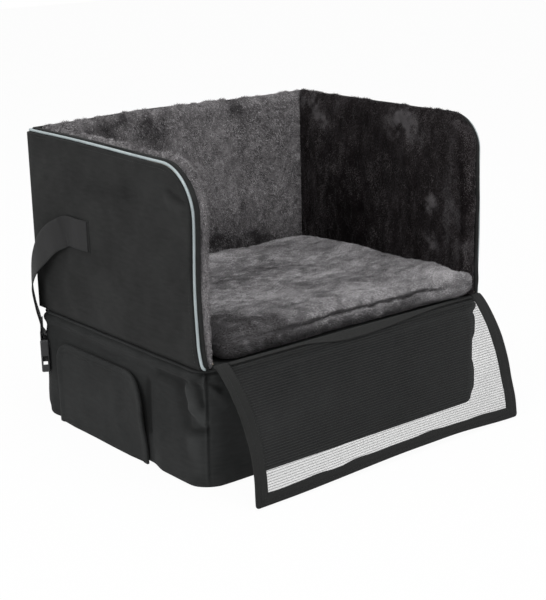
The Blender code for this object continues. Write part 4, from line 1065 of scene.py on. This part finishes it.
def make_wall(side, label):
    """A wall's outer cloth, its padded and hairy facing, its piping and the piping's stitches."""
    inner_low = WALL_BOTTOM + FACING_FOOT
    if side:
        outward, up, (path, seam) = (side, 0, 0), (side, 0, 0), side_piping(side)
        outer = side_face(side, HALF_WIDTH, COVER_INSET, WALL_BOTTOM, BACK_Y - GAP, COVER_PITCH)
        inner = side_face(side, INNER_X, FACING_ROLL, inner_low, INNER_Y - GAP, FACING_PITCH, 0.0)
    else:
        outward, up, (path, seam) = (0, 1, 0), (0, 0, 1), back_piping()
        outer = back_face(BACK_Y, COVER_INSET, WALL_BOTTOM, HALF_WIDTH - GAP, BACK_COVER_PITCH)
        inner = back_face(INNER_Y, FACING_ROLL, inner_low, INNER_X - GAP, FACING_PITCH)
    cover = pad(f"{label}_wall_cloth", outer, outward, cover_rim(), "cover", wall_clamp(side, False),
                replaced=[f"{label}_wall_cover"])
    if side:
        # painted shade and highlight: the cover is darker in fold valleys and lighter on fold ridges
        paint(cover, "fold_shading", np.clip(folds(read_points(cover)[0], COVER_FOLDS[label]) / 0.0042, -0.6, 0.6))
    displace(cover, cover_relief(label, side))
    shift_points(cover, wall_set(side))
    facing = pad(f"{label}_wall_pile", inner, [-part for part in outward], facing_rim(), f"plush_{label}",
                 wall_clamp(side, True), slot="plush_fabric", replaced=[f"{label}_wall_plush"])
    displace(facing, plush_relief)
    shift_points(facing, wall_set(side))
    set_nap_and_shade(facing, label)
    fuzz(f"{label}_wall_hairs", facing, label, "shell", shown_pile)
    tube(f"{label}_wall_cord", path, PIPING_RADIUS, up, "piping", slot="piping_trim",
         replaced=[f"{label}_wall_piping"])
    stitches(f"{label}_wall_stitches", [seam], outward)


# Cushion

def swell(piece):
    """Blow the piece up as cloth, and keep how far each point moved, up to a cap."""
    rest = read_points(piece)[0]
    air = piece.modifiers.new("air", "CLOTH")
    air.settings.use_pressure = True
    air.settings.uniform_pressure_force = AIR_PRESSURE
    air.settings.effector_weights.gravity = 0.0
    air.settings.tension_stiffness = AIR_STIFFNESS
    air.settings.compression_stiffness = AIR_STIFFNESS
    scene = bpy.context.scene
    for k in range(1, AIR_FRAMES + 1):
        scene.frame_set(k)
    shown = piece.evaluated_get(bpy.context.evaluated_depsgraph_get())
    moved = read(shown.data.vertices, "co")
    piece.modifiers.remove(air)
    scene.frame_set(1)
    shift = (moved - rest) * (0.2, 0.2, 1.0)
    length = np.linalg.norm(shift, axis=1, keepdims=True)
    write_points(piece, rest + shift * np.minimum(1, SWELL_CAP / np.maximum(length, 1e-9)))


def cushion_form():
    """A plain closed cushion with round corners and drawn-in sides, remeshed for the simulation."""
    inset, roll = 0.0008, 0.006
    low, high = CUSHION_LOW.z + 0.001, CUSHION_LOW.z + 0.0265
    half_x, half_y = CUSHION_HIGH.x - inset, (CUSHION_HIGH.y - CUSHION_LOW.y) / 2 - inset
    outline, directions = round_outline(half_x, half_y, 0.024, 0.006)
    outline *= 1 - 0.0025 / half_x * (1 - (np.roll(outline, 1, 1) / (half_y, half_x)) ** 2).clip(0)
    outline[:, 1] += CUSHION_MIDDLE
    steps = ((low, -roll), (low + roll * 0.3, -roll * 0.3), (low + roll, 0), (high - roll, 0),
             (high - roll * 0.3, -roll * 0.3), (high, -roll))
    crown = columns(*((outline + directions * -roll) * 0.5 + (0, CUSHION_MIDDLE * 0.5)).T, high + 0.004)
    piece = surface("cushion_pile", np.concatenate([rings(outline, directions, steps), crown[None]]),
                    "plush_cushion_painted_light", body=None, slot="plush_fabric")
    remesh = piece.modifiers.new("even_mesh", "REMESH")
    remesh.mode = "VOXEL"
    remesh.voxel_size = CUSHION_VOXEL
    bake_modifiers(piece)
    return piece


def seam_distance(points):
    """Height above the cushion's front seam, which wavers."""
    flat = points * (1, 1, 0)
    level = CUSHION_LOW.z + CUSHION_SEAM + noise(flat, 0.013, 59) * 0.0014
    return points[:, 2] - level - noise(flat, 0.045, 57) * 0.0012


def seam_shown(points):
    """The front seam fades out before the right corner."""
    return 1 - 0.85 * ease(points[:, 0], 0.12, 0.152)


def cushion_set(points):
    """The right front corner swells over the seat's edge, beyond the wall's front."""
    x, y, z = points.T
    high = ease(z, CUSHION_LOW.z + 0.002, CUSHION_LOW.z + 0.012)
    right, front = ease(x, 0.105, 0.188), ease(-y, 0.095, 0.168)
    ahead = y - 0.0165 * right * front * high
    out = 0.0135 * ease(x, 0.15, 0.19) * ease(-ahead, 0.168, 0.182) * high
    along = 0.0055 * ease(-y, -0.13, -0.04) + 0.0028 * ease(-y, 0.02, 0.155)
    rise = along * ease(x, 0.08, 0.185) * ease(z, CUSHION_LOW.z + 0.008, CUSHION_LOW.z + 0.026)
    return columns(out, ahead - y, rise)


def cushion_relief(points, normals):
    """The front seam's groove, and tufts on the top and the sides."""
    x = points[:, 0]
    kept = 0.45 + 0.55 * ease(x, -0.14, -0.09)
    groove = -0.0042 * bell(seam_distance(points), 0.0021) * ease(1 - np.abs(normals[:, 2]), 0.06, 0.25) * kept
    tufts = (bumps(points * (0.6, 1.0, 1.0), (0.017, 61, 0.0012), (0.0075, 67, 0.001))
             + noise(points, 0.0045, 71) * 0.0008)
    waves = layered(points, 0.09, 73, 2) * 0.0016 * (1 - 0.7 * ease(x, 0.12, 0.18))
    return groove * seam_shown(points) + ease(normals[:, 2], -0.3, 0.2) * (tufts + waves)


def cushion_pile(points, normals):
    """Hairs stand on the top and the front, not where the cushion rubs along the walls."""
    front = (normals[:, 1] < -0.2) & (points[:, 2] > CUSHION_LOW.z + 0.003)
    return ((normals[:, 2] > 0.45) | front) & (np.abs(seam_distance(points)) > 0.0012 * seam_shown(points))


def make_cushion():
    cushion = cushion_form()
    swell(cushion)
    lowest = (-CUSHION_HIGH.x, CUSHION_LOW.y, CUSHION_LOW.z + 0.0012)
    points = np.clip(read_points(cushion)[0], lowest, CUSHION_HIGH)
    write_points(cushion, points + cushion_set(points))
    fine = cushion.modifiers.new("finer", "SUBSURF")
    fine.levels = fine.render_levels = 1
    bake_modifiers(cushion)
    displace(cushion, cushion_relief)
    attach(cushion, "cushion")
    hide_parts("cushion_cover")
    set_nap_and_shade(cushion, "seat")
    hairs = fuzz("cushion_hairs", cushion, "seat", "cushion", cushion_pile)
    inset, thick = 0.012, 0.0014
    outline, directions = round_outline(CUSHION_HIGH.x - inset, (CUSHION_HIGH.y - CUSHION_LOW.y) / 2 - inset,
                                        0.018, 0.005)
    outline[:, 1] += CUSHION_MIDDLE
    steps = [(CUSHION_LOW.z + height, offset) for height, offset in
             ((0.0, -0.001), (0.0, 0.0), (0.0006, 0.0006), (thick, 0.0), (thick, -0.004))]
    under = surface("cushion_underside", rings(outline, directions, steps), "deck", body="cushion",
                    replaced=["cushion_base_panel"])
    core = add_piece("cushion_core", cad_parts["cushion_foam"].data.copy(), "foam", "cushion",
                     "foam_filling", ["cushion_foam"])
    centre = np.array((CUSHION_LOW + CUSHION_HIGH) / 2)
    shift_points(core, lambda places: (centre - places) * CORE_SHRINK)
    for piece in (cushion, hairs, under, core):
        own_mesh(piece)


# Apron

def apron_curve():
    """The apron's section from the hinge to the hem: distance along it, place and normal as (y, z)."""
    start = np.array((HINGE_Y, HINGE_Z))
    end = np.array((start[0] - APRON_REACH, APRON_HEM_Z))
    top = start + np.array((-math.cos(APRON_TOP_SLOPE), -math.sin(APRON_TOP_SLOPE))) * APRON_TOP_PULL
    hem = end + np.array((math.cos(APRON_HEM_SLOPE), math.sin(APRON_HEM_SLOPE))) * APRON_HEM_PULL
    t = np.linspace(0, 1, 301)[:, None]
    s = 1 - t
    places = start * s**3 + top * 3 * s * s * t + hem * 3 * s * t * t + end * t**3
    along = unit(np.gradient(places, axis=0))
    return walk(places), places, columns(along[:, 1], -along[:, 0])


CURVE_WALKED, CURVE_PLACES, CURVE_NORMALS = apron_curve()
APRON_LENGTH = CURVE_WALKED[-1]


def apron_wave(x, along):
    """How far the loose cloth stands off its even curve."""
    spot = columns(x, along * 1.6, 0)
    free = ease(along, 0.01, 0.06)
    hem = ease(along, APRON_LENGTH * 0.75, APRON_LENGTH)
    return free * bumps(spot, (0.105, 81, 0.0022), (0.045, 83, 0.0008)) * (1 - 0.55 * hem)


def apron_at(x, along, height):
    """Points of the apron at a place across it, a distance down it and a height off it.

    The cloth lies on the header roll at first, and a distance below 0 is on the roll's top.
    """
    x, along, height = np.broadcast_arrays(*(np.asarray(v, float) for v in (x, along, height)))
    down = np.clip(along / APRON_LENGTH, 0, 1)
    lift = height + apron_wave(x, along) + ROLL_RADIUS * (1 - ease(along, 0.0, ROLL_FADE))
    turn = np.minimum(along, 0) / ROLL_RADIUS + APRON_TOP_SLOPE
    y, z = (np.interp(along, CURVE_WALKED, CURVE_PLACES[:, k])
            + lift * np.interp(along, CURVE_WALKED, CURVE_NORMALS[:, k]) for k in (0, 1))
    y = np.where(along < 0, HINGE_Y - lift * np.sin(turn), y)
    z = np.where(along < 0, HINGE_Z + lift * np.cos(turn), z)
    z = z + HEM_RISE * down**3 * ease(x, -0.17, 0.04) * (1 - ease(x, 0.09, 0.21))
    drawn = SIDE_DRAW * np.sin(math.pi * down) ** 2 * ease(-x, 0.09, APRON_HALF)
    return np.stack([x + drawn, y, np.maximum(z, 0.0004)], -1)


def thread_rings(x, along, wide, deep, sideways):
    """Four-sided thread: corners at each point, spread along the cloth and through it."""
    return np.stack([apron_at(x + (wide * a if sideways else 0), along + (0 if sideways else wide * a), deep * b)
                     for a, b in ((-0.5, 0), (0, 0.5), (0.5, 0), (0, -0.5))], 1)


def make_net():
    """Thick ribs across the apron, and fine threads down it."""
    rib_step, thread_step, tucked = 0.008, 0.006, 0.004
    half = APRON_HALF - BINDING_WIDTH + tucked
    low, high = NET_START, APRON_LENGTH - HEM_BINDING + tucked
    xs, alongs = spread(-half, half, rib_step), spread(low, high, thread_step)
    runs = [thread_rings(xs, np.full(len(xs), along), NET_RIB_WIDTH, NET_RIB_DEPTH, False)
            for along in spread(low, high, NET_PITCH)]
    runs += [thread_rings(np.full(len(alongs), x), alongs, NET_THREAD, NET_THREAD_DEPTH, True)
             for x in spread(-half, half, NET_THREAD_PITCH)]
    points, faces, uv = [], [], []
    for run in runs:
        rows, cols = run.shape[:2]
        faces += tube_faces(np.arange(rows * cols).reshape(rows, cols) + sum(map(len, points)))
        points.append(run.reshape(-1, 3))
        uv.append(columns(np.arange(cols) * 0.0006, np.arange(rows)[:, None] * rib_step).reshape(-1, 2))
    net = finish_mesh("apron_ribbed_net", np.concatenate(points), faces, np.concatenate(uv), "yarn",
                      body="apron", slot="net_fabric", replaced=["apron_net"])
    return net, (2 * half, high - low)


def binding_stations():
    """Outer and inner edge of the binding, down one side, along the hem and up the other."""
    half, hem = APRON_HALF - 0.0006, APRON_LENGTH
    inner_x, inner_along = half - BINDING_WIDTH, hem - HEM_BINDING
    right = [((half, a), (inner_x, a)) for a in spread(BINDING_START, inner_along, 0.0025)]
    outer = [(half, inner_along + HEM_BINDING * k / 3) for k in (1, 2)]
    outer += [(half - BINDING_CORNER * (1 - math.cos(a)), hem - BINDING_CORNER * (1 - math.sin(a)))
              for a in np.linspace(0, math.pi / 2, 5)]
    outer += [(half - BINDING_WIDTH * k / 3, hem) for k in (1, 2)]
    right += [(place, (inner_x, inner_along)) for place in outer]
    right += [((x, hem), (x, inner_along)) for x in spread(inner_x, 0, 0.0035)]
    right = np.array(right)
    return np.concatenate([right, right[-2::-1] * (-1, 1)])


def make_binding():
    """A folded tape over the net's edges, thick where it is plump and thin at its two seams."""
    stations = binding_stations()
    shares = np.array([0, 0.015, 0.06, 0.18, 0.32, 0.38, 0.44, 0.62, 0.8, 0.86, 0.92, 0.97, 1.0])
    plump = np.array([0.2, 0.65, 0.95, 1.0, 0.95, 0.72, 0.95, 1.0, 0.95, 0.74, 0.9, 0.7, 0.25])
    waver = noise(np.column_stack([stations[:, 1], np.zeros(len(stations))]), 0.03, 91) * 0.0016
    inner = stations[:, 1] + (stations[:, 1] - stations[:, 0]) / BINDING_WIDTH * waver[:, None]

    def line(share, height):
        spot = stations[:, 0] + (inner - stations[:, 0]) * share
        return apron_at(spot[:, 0], spot[:, 1], height)

    face = [line(*pair) for pair in zip(shares, BINDING_THICKNESS * plump)]
    back = [line(*pair) for pair in zip(shares[::-1], -BINDING_THICKNESS * plump[::-1])]
    binding = surface("apron_binding_tape", np.stack(face + back, 1), "tape", body="apron",
                      replaced=["apron_binding"])
    stitches("apron_stitches", [line(share, BINDING_THICKNESS * 0.8) for share in (0.38, 0.87)], (0, -1, 0.3),
             "apron")
    return binding


def make_top_band():
    """Plain cloth from the base's top edge over the roll. Its loose lower edge sags in the middle."""
    half = INNER_X - 0.002
    xs = spread(-half, half, 0.004)
    rows = [columns(xs, y, z) for y, z in ((-0.1762, HINGE_Z + 0.0008), (-0.1785, HINGE_Z + 0.0022))]
    sag = BAND_SAG * ease(xs, -0.095, -0.02) * (1 - ease(xs, 0.0, 0.15)) + 0.0012
    for share in np.linspace(0, 1, 12):
        rows.append(apron_at(xs, BAND_START + (sag - BAND_START) * share, BAND_RISE + 0.001 * share**3))
    rows += [apron_at(xs, sag + 0.0006, BAND_RISE), apron_at(xs, sag - 0.0004, 0.0006)]
    band = surface("apron_top_band", np.stack(rows), "tape", False, body=None, replaced=["apron_seam_strip"])
    layer = band.modifiers.new("thickness", "SOLIDIFY")
    layer.thickness = BAND_THICKNESS
    layer.offset = -1.0
    bake_modifiers(band)
    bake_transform(band)


def make_apron():
    net, flat = make_net()
    binding = make_binding()
    make_top_band()
    half = APRON_HALF - 0.006
    path = columns(spread(-half, half, 0.006), HINGE_Y, HINGE_Z)
    path[:, 2] += noise(path, 0.05, 97) * 0.0003
    tube("apron_roll", path, ROLL_RADIUS - 0.0008, (0, 0, 1), "tape", body="apron", replaced=["apron_header"])


# Side flaps

def flap_line(inset):
    """Row heights with the front and rear edges of a flap."""
    high = FLAP_HIGH.z - inset
    front_radius, rear_radius = FLAP_FRONT_RADIUS - inset, FLAP_REAR_RADIUS - inset
    turn = spread(0, math.pi / 2, 0.0028 / front_radius)
    zs = np.concatenate([spread(FLAP_LOW.z, high - front_radius, 0.003)[:-1],
                         high - front_radius * (1 - np.sin(turn))])
    edges = []
    for edge, radius, sign in ((FLAP_LOW.y + inset, front_radius, 1), (FLAP_HIGH.y - inset, rear_radius, -1)):
        over = np.clip(zs - (high - radius), 0, radius)
        edges.append(edge + sign * (radius - np.sqrt(np.maximum(radius**2 - over**2, 0))))
    return zs, *edges


def flap_border(inset):
    """Up a flap's front edge, along its top and down its rear edge, as (y, z)."""
    zs, fronts, rears = flap_line(inset)
    top = spread(fronts[-1], rears[-1], 0.003)[1:-1]
    return np.concatenate([columns(fronts, zs), columns(top, zs[-1]), columns(rears, zs)[::-1]])


def flap_lift(points):
    """How far the flap's loose front edge and top stand away from the base."""
    _, y, z = points.T
    ahead = 1 - ease(y, FLAP_LOW.y, FLAP_LOW.y + 0.05)
    high = ease(z, 0.01, 0.07) * (1 - 0.5 * ease(z, 0.085, 0.112))
    return 0.0062 * ahead * high + 0.0012 * (ease(y, FLAP_HIGH.y - 0.04, FLAP_HIGH.y) * ease(z, 0.03, 0.1))


def flap_relief(points, normals, side):
    """The folded hem with its groove, round a slightly swollen middle."""
    away = np.min(np.linalg.norm(points[:, None, 1:] - flap_border(0.0)[None], axis=2), axis=1)
    hem = 0.0009 * (1 - ease(away, FLAP_HEM, FLAP_HEM + 0.0022))
    groove = -0.0005 * bell(away - FLAP_HEM + 0.0012, 0.001)
    body = ease(away, 0.01, 0.04) * (0.0006 + layered(points, 0.06, 101, 2) * 0.0006)
    return (normals[:, 0] * side > 0.5) * (hem + groove + body)


def make_flap(side, label):
    zs, fronts, rears = flap_line(0.0012)
    ys = fronts[:, None] + (rears - fronts)[:, None] * np.linspace(0, 1, 68)
    outer = FLAP_HIGH.x - 0.001
    rim = [(0.0007, 0.0002), (0.0011, 0.0008), (0.0011, 0.0018), (0.0006, FLAP_THICKNESS - 0.0002),
           (0, FLAP_THICKNESS)]
    flap = pad(f"{label}_flap_cloth", columns(side * outer, ys, zs[:, None]), (side, 0, 0), rim, "base",
               body=f"{label}_flap", replaced=[f"{label}_flap_panel", f"{label}_flap_binding"])
    points, normals = read_points(flap)
    points = points + normals * flap_relief(points, normals, side)[:, None]
    points[:, 0] += side * flap_lift(points)
    write_points(flap, points)
    seam = flap_border(FLAP_HEM - 0.0012)
    path = columns(side * (outer + 0.0004), *seam.T)
    path[:, 0] += side * flap_lift(path)
    stitches(f"{label}_flap_stitches", [path], (side, 0, 0), f"{label}_flap")
    make_grip(side, f"{label}_loop_strip", "shell")
    make_grip(side, f"{label}_hook_strip", f"{label}_flap")


def make_grip(side, node, body):
    """A hook or loop strip with a rough face."""
    low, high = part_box(node)
    ys, zs = (spread(a + 0.001, b - 0.001, 0.0013) for a, b in ((low.y, high.y), (low.z, high.z)))
    grid = columns(side * max(abs(low.x), abs(high.x)), ys, zs[:, None])
    strip = pad(node.replace("strip", "tape"), grid, (side, 0, 0), [(0.0005, 0.0002), (0.0005, 0.0007), (0, 0.0009)],
                "grip", body=body, slot="grip_fabric", replaced=[node])
    displace(strip, lambda points, normals: lattice(np.round(points / 0.0006).astype(np.int64), 7) * 0.00012 - 0.0001)


# Straps

def smooth_run(stops, steps):
    """Catmull-Rom curve through stops."""
    padded = np.concatenate([[2 * stops[0] - stops[1]], stops, [2 * stops[-1] - stops[-2]]])
    t = np.linspace(0, 1, steps, endpoint=False)[:, None]
    runs = []
    for before, here, there, after in zip(padded, padded[1:], padded[2:], padded[3:]):
        runs.append((here * 2 + (there - before) * t + (before * 2 - here * 5 + there * 4 - after) * t * t
                     + (here * 3 - before - there * 3 + after) * t**3) / 2)
    return np.concatenate(runs + [stops[-1:]])


def strap_route(side):
    """Centre line and width direction of a strap, from inside its slit to its end behind the bar."""
    middle_x = TAB_HIGH.x - STRAP_THICKNESS / 2 - 0.0001
    slit_y = TAB_LOW.y + STRAP_THICKNESS / 2 + 0.0001
    start_y = TAB_HIGH.y + GAP
    turn = BAR_HALF * math.sqrt(2) + GAP + STRAP_THICKNESS / 2
    mirror = np.array((side, 1, 1))
    bar = np.array((HALF_WIDTH - BUCKLE_INSET, BASE_HIGH.y + BUCKLE_BACK, STRAP_LEVEL - BUCKLE_DROP)) * mirror
    along = np.array((-math.cos(BUCKLE_TURN), math.sin(BUCKLE_TURN), 0)) * mirror
    outward = np.array((math.sin(BUCKLE_TURN), math.cos(BUCKLE_TURN), 0)) * mirror
    bend = 0.0022
    points = [(x, y, STRAP_LEVEL) for x, y in
              ((HALF_WIDTH - 0.006, slit_y), (HALF_WIDTH - 0.001, slit_y),
               (middle_x - bend * 0.25, slit_y + bend * 0.25), (middle_x, slit_y + bend * 1.2),
               (middle_x + 0.0006, (slit_y + start_y) / 2), (middle_x, start_y - 0.004))]
    points += [(middle_x + STRAP_BULGE * out, start_y + (BACK_Y - start_y) * back, STRAP_LEVEL - BUCKLE_DROP * down)
               for out, back, down in
               ((0, 0, 0), (0.01, 0.04, 0), (0.1, 0.12, 0.008), (0.34, 0.21, 0.034), (0.62, 0.396, 0.089),
                (0.68, 0.622, 0.191), (0.91, 0.817, 0.331), (1.0, 0.92, 0.51), (0.6, 0.95, 0.694))]
    widths = [(0, 0, 1)] * 8 + [(-0.02, 0.05, 1), (0, 0.14, 1), (0, 0.36, 0.93), (-0.05, 0.76, 0.64),
                                (-0.3, 0.93, 0.2), (-0.48, 0.86, -0.12), (-0.5, 0.86, -0.1)]
    points = [np.array(p) * mirror for p in points]
    points += [bar + outward * turn + (0, 0, height)
               for height in (STRAP_RETURN + STRAP_THICKNESS, STRAP_RETURN / 2, 0)]
    widths = [np.array(w, float) * mirror for w in widths] + [along] * 3
    points, widths = smooth_run(np.array(points), 8), smooth_run(np.array(widths), 8)
    loop = [bar + outward * (turn * math.cos(a)) - (0, 0, turn * math.sin(a)) for a in np.linspace(0, math.pi, 13)[1:]]
    sewn = [bar + outward * (turn - STRAP_THICKNESS - GAP * 2) + (0, 0, STRAP_RETURN * share)
            for share in (0.35, 0.7, 1.0)]
    points = np.concatenate([points, loop, sewn])
    return points, np.concatenate([widths, np.repeat(along[None], len(loop) + len(sewn), 0)])


def make_strap(side, label):
    points, across = strap_route(side)
    tangent = unit(np.gradient(points, axis=0))
    across = unit(across - tangent * (across * tangent).sum(1, keepdims=True))
    normal = np.cross(tangent, across)
    shares = np.array([-1.0, -0.96, -0.8, -0.4, 0.0, 0.4, 0.8, 0.96, 1.0])
    thick = np.array([0.25, 0.8, 1.0, 1.0, 1.0, 1.0, 1.0, 0.8, 0.25]) * STRAP_THICKNESS / 2
    cup = 0.0006 * (1 - shares**2)
    edge = list(zip(np.concatenate([shares, shares[::-1]]),
                    np.concatenate([thick + cup, (cup - thick)[::-1]])))
    section = [points + across * (STRAP_WIDTH / 2 * s) + normal * h for s, h in edge]
    strap = surface(f"{label}_strap", np.stack(section, 1), "webbing", body=None, slot="webbing",
                    replaced=[f"{label}_strap_tab", f"{label}_strap_webbing"])
    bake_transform(strap)
    make_slit(side, label)


def make_slit(side, label):
    """Two stitched lips round the slit that the strap comes out of."""
    half = STRAP_WIDTH / 2 + 0.0015
    outer = side * (HALF_WIDTH + 0.0003)
    for name, x, offset in (("front", outer, -0.0024), ("rear", outer - side * 0.0011, 0.0022)):
        path = columns(x, TAB_LOW.y + STRAP_THICKNESS / 2 + offset,
                       spread(STRAP_LEVEL - half, STRAP_LEVEL + half, 0.003))
        tube(f"{label}_slit_{name}", path, 0.0009, (side, 0, 0), "tape", 8)


def set_cad_materials():
    """Finish the CAD nodes that stay in sight or lie inside."""
    for name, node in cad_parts.items():
        for word, look in {"buckle": "plastic", "foam": "foam", "board": "board"}.items():
            if word in name:
                node.data.materials.clear()
                node.data.materials.append(MATERIALS[look][0])


SIDES = ((-1, "left"), (1, "right"))
make_studio()
MATERIALS = make_materials()
make_base()
make_wall(0, "back")
for side, label in SIDES:
    make_wall(side, label)
    make_flap(side, label)
    make_strap(side, label)
make_cushion()
make_apron()
set_cad_materials()
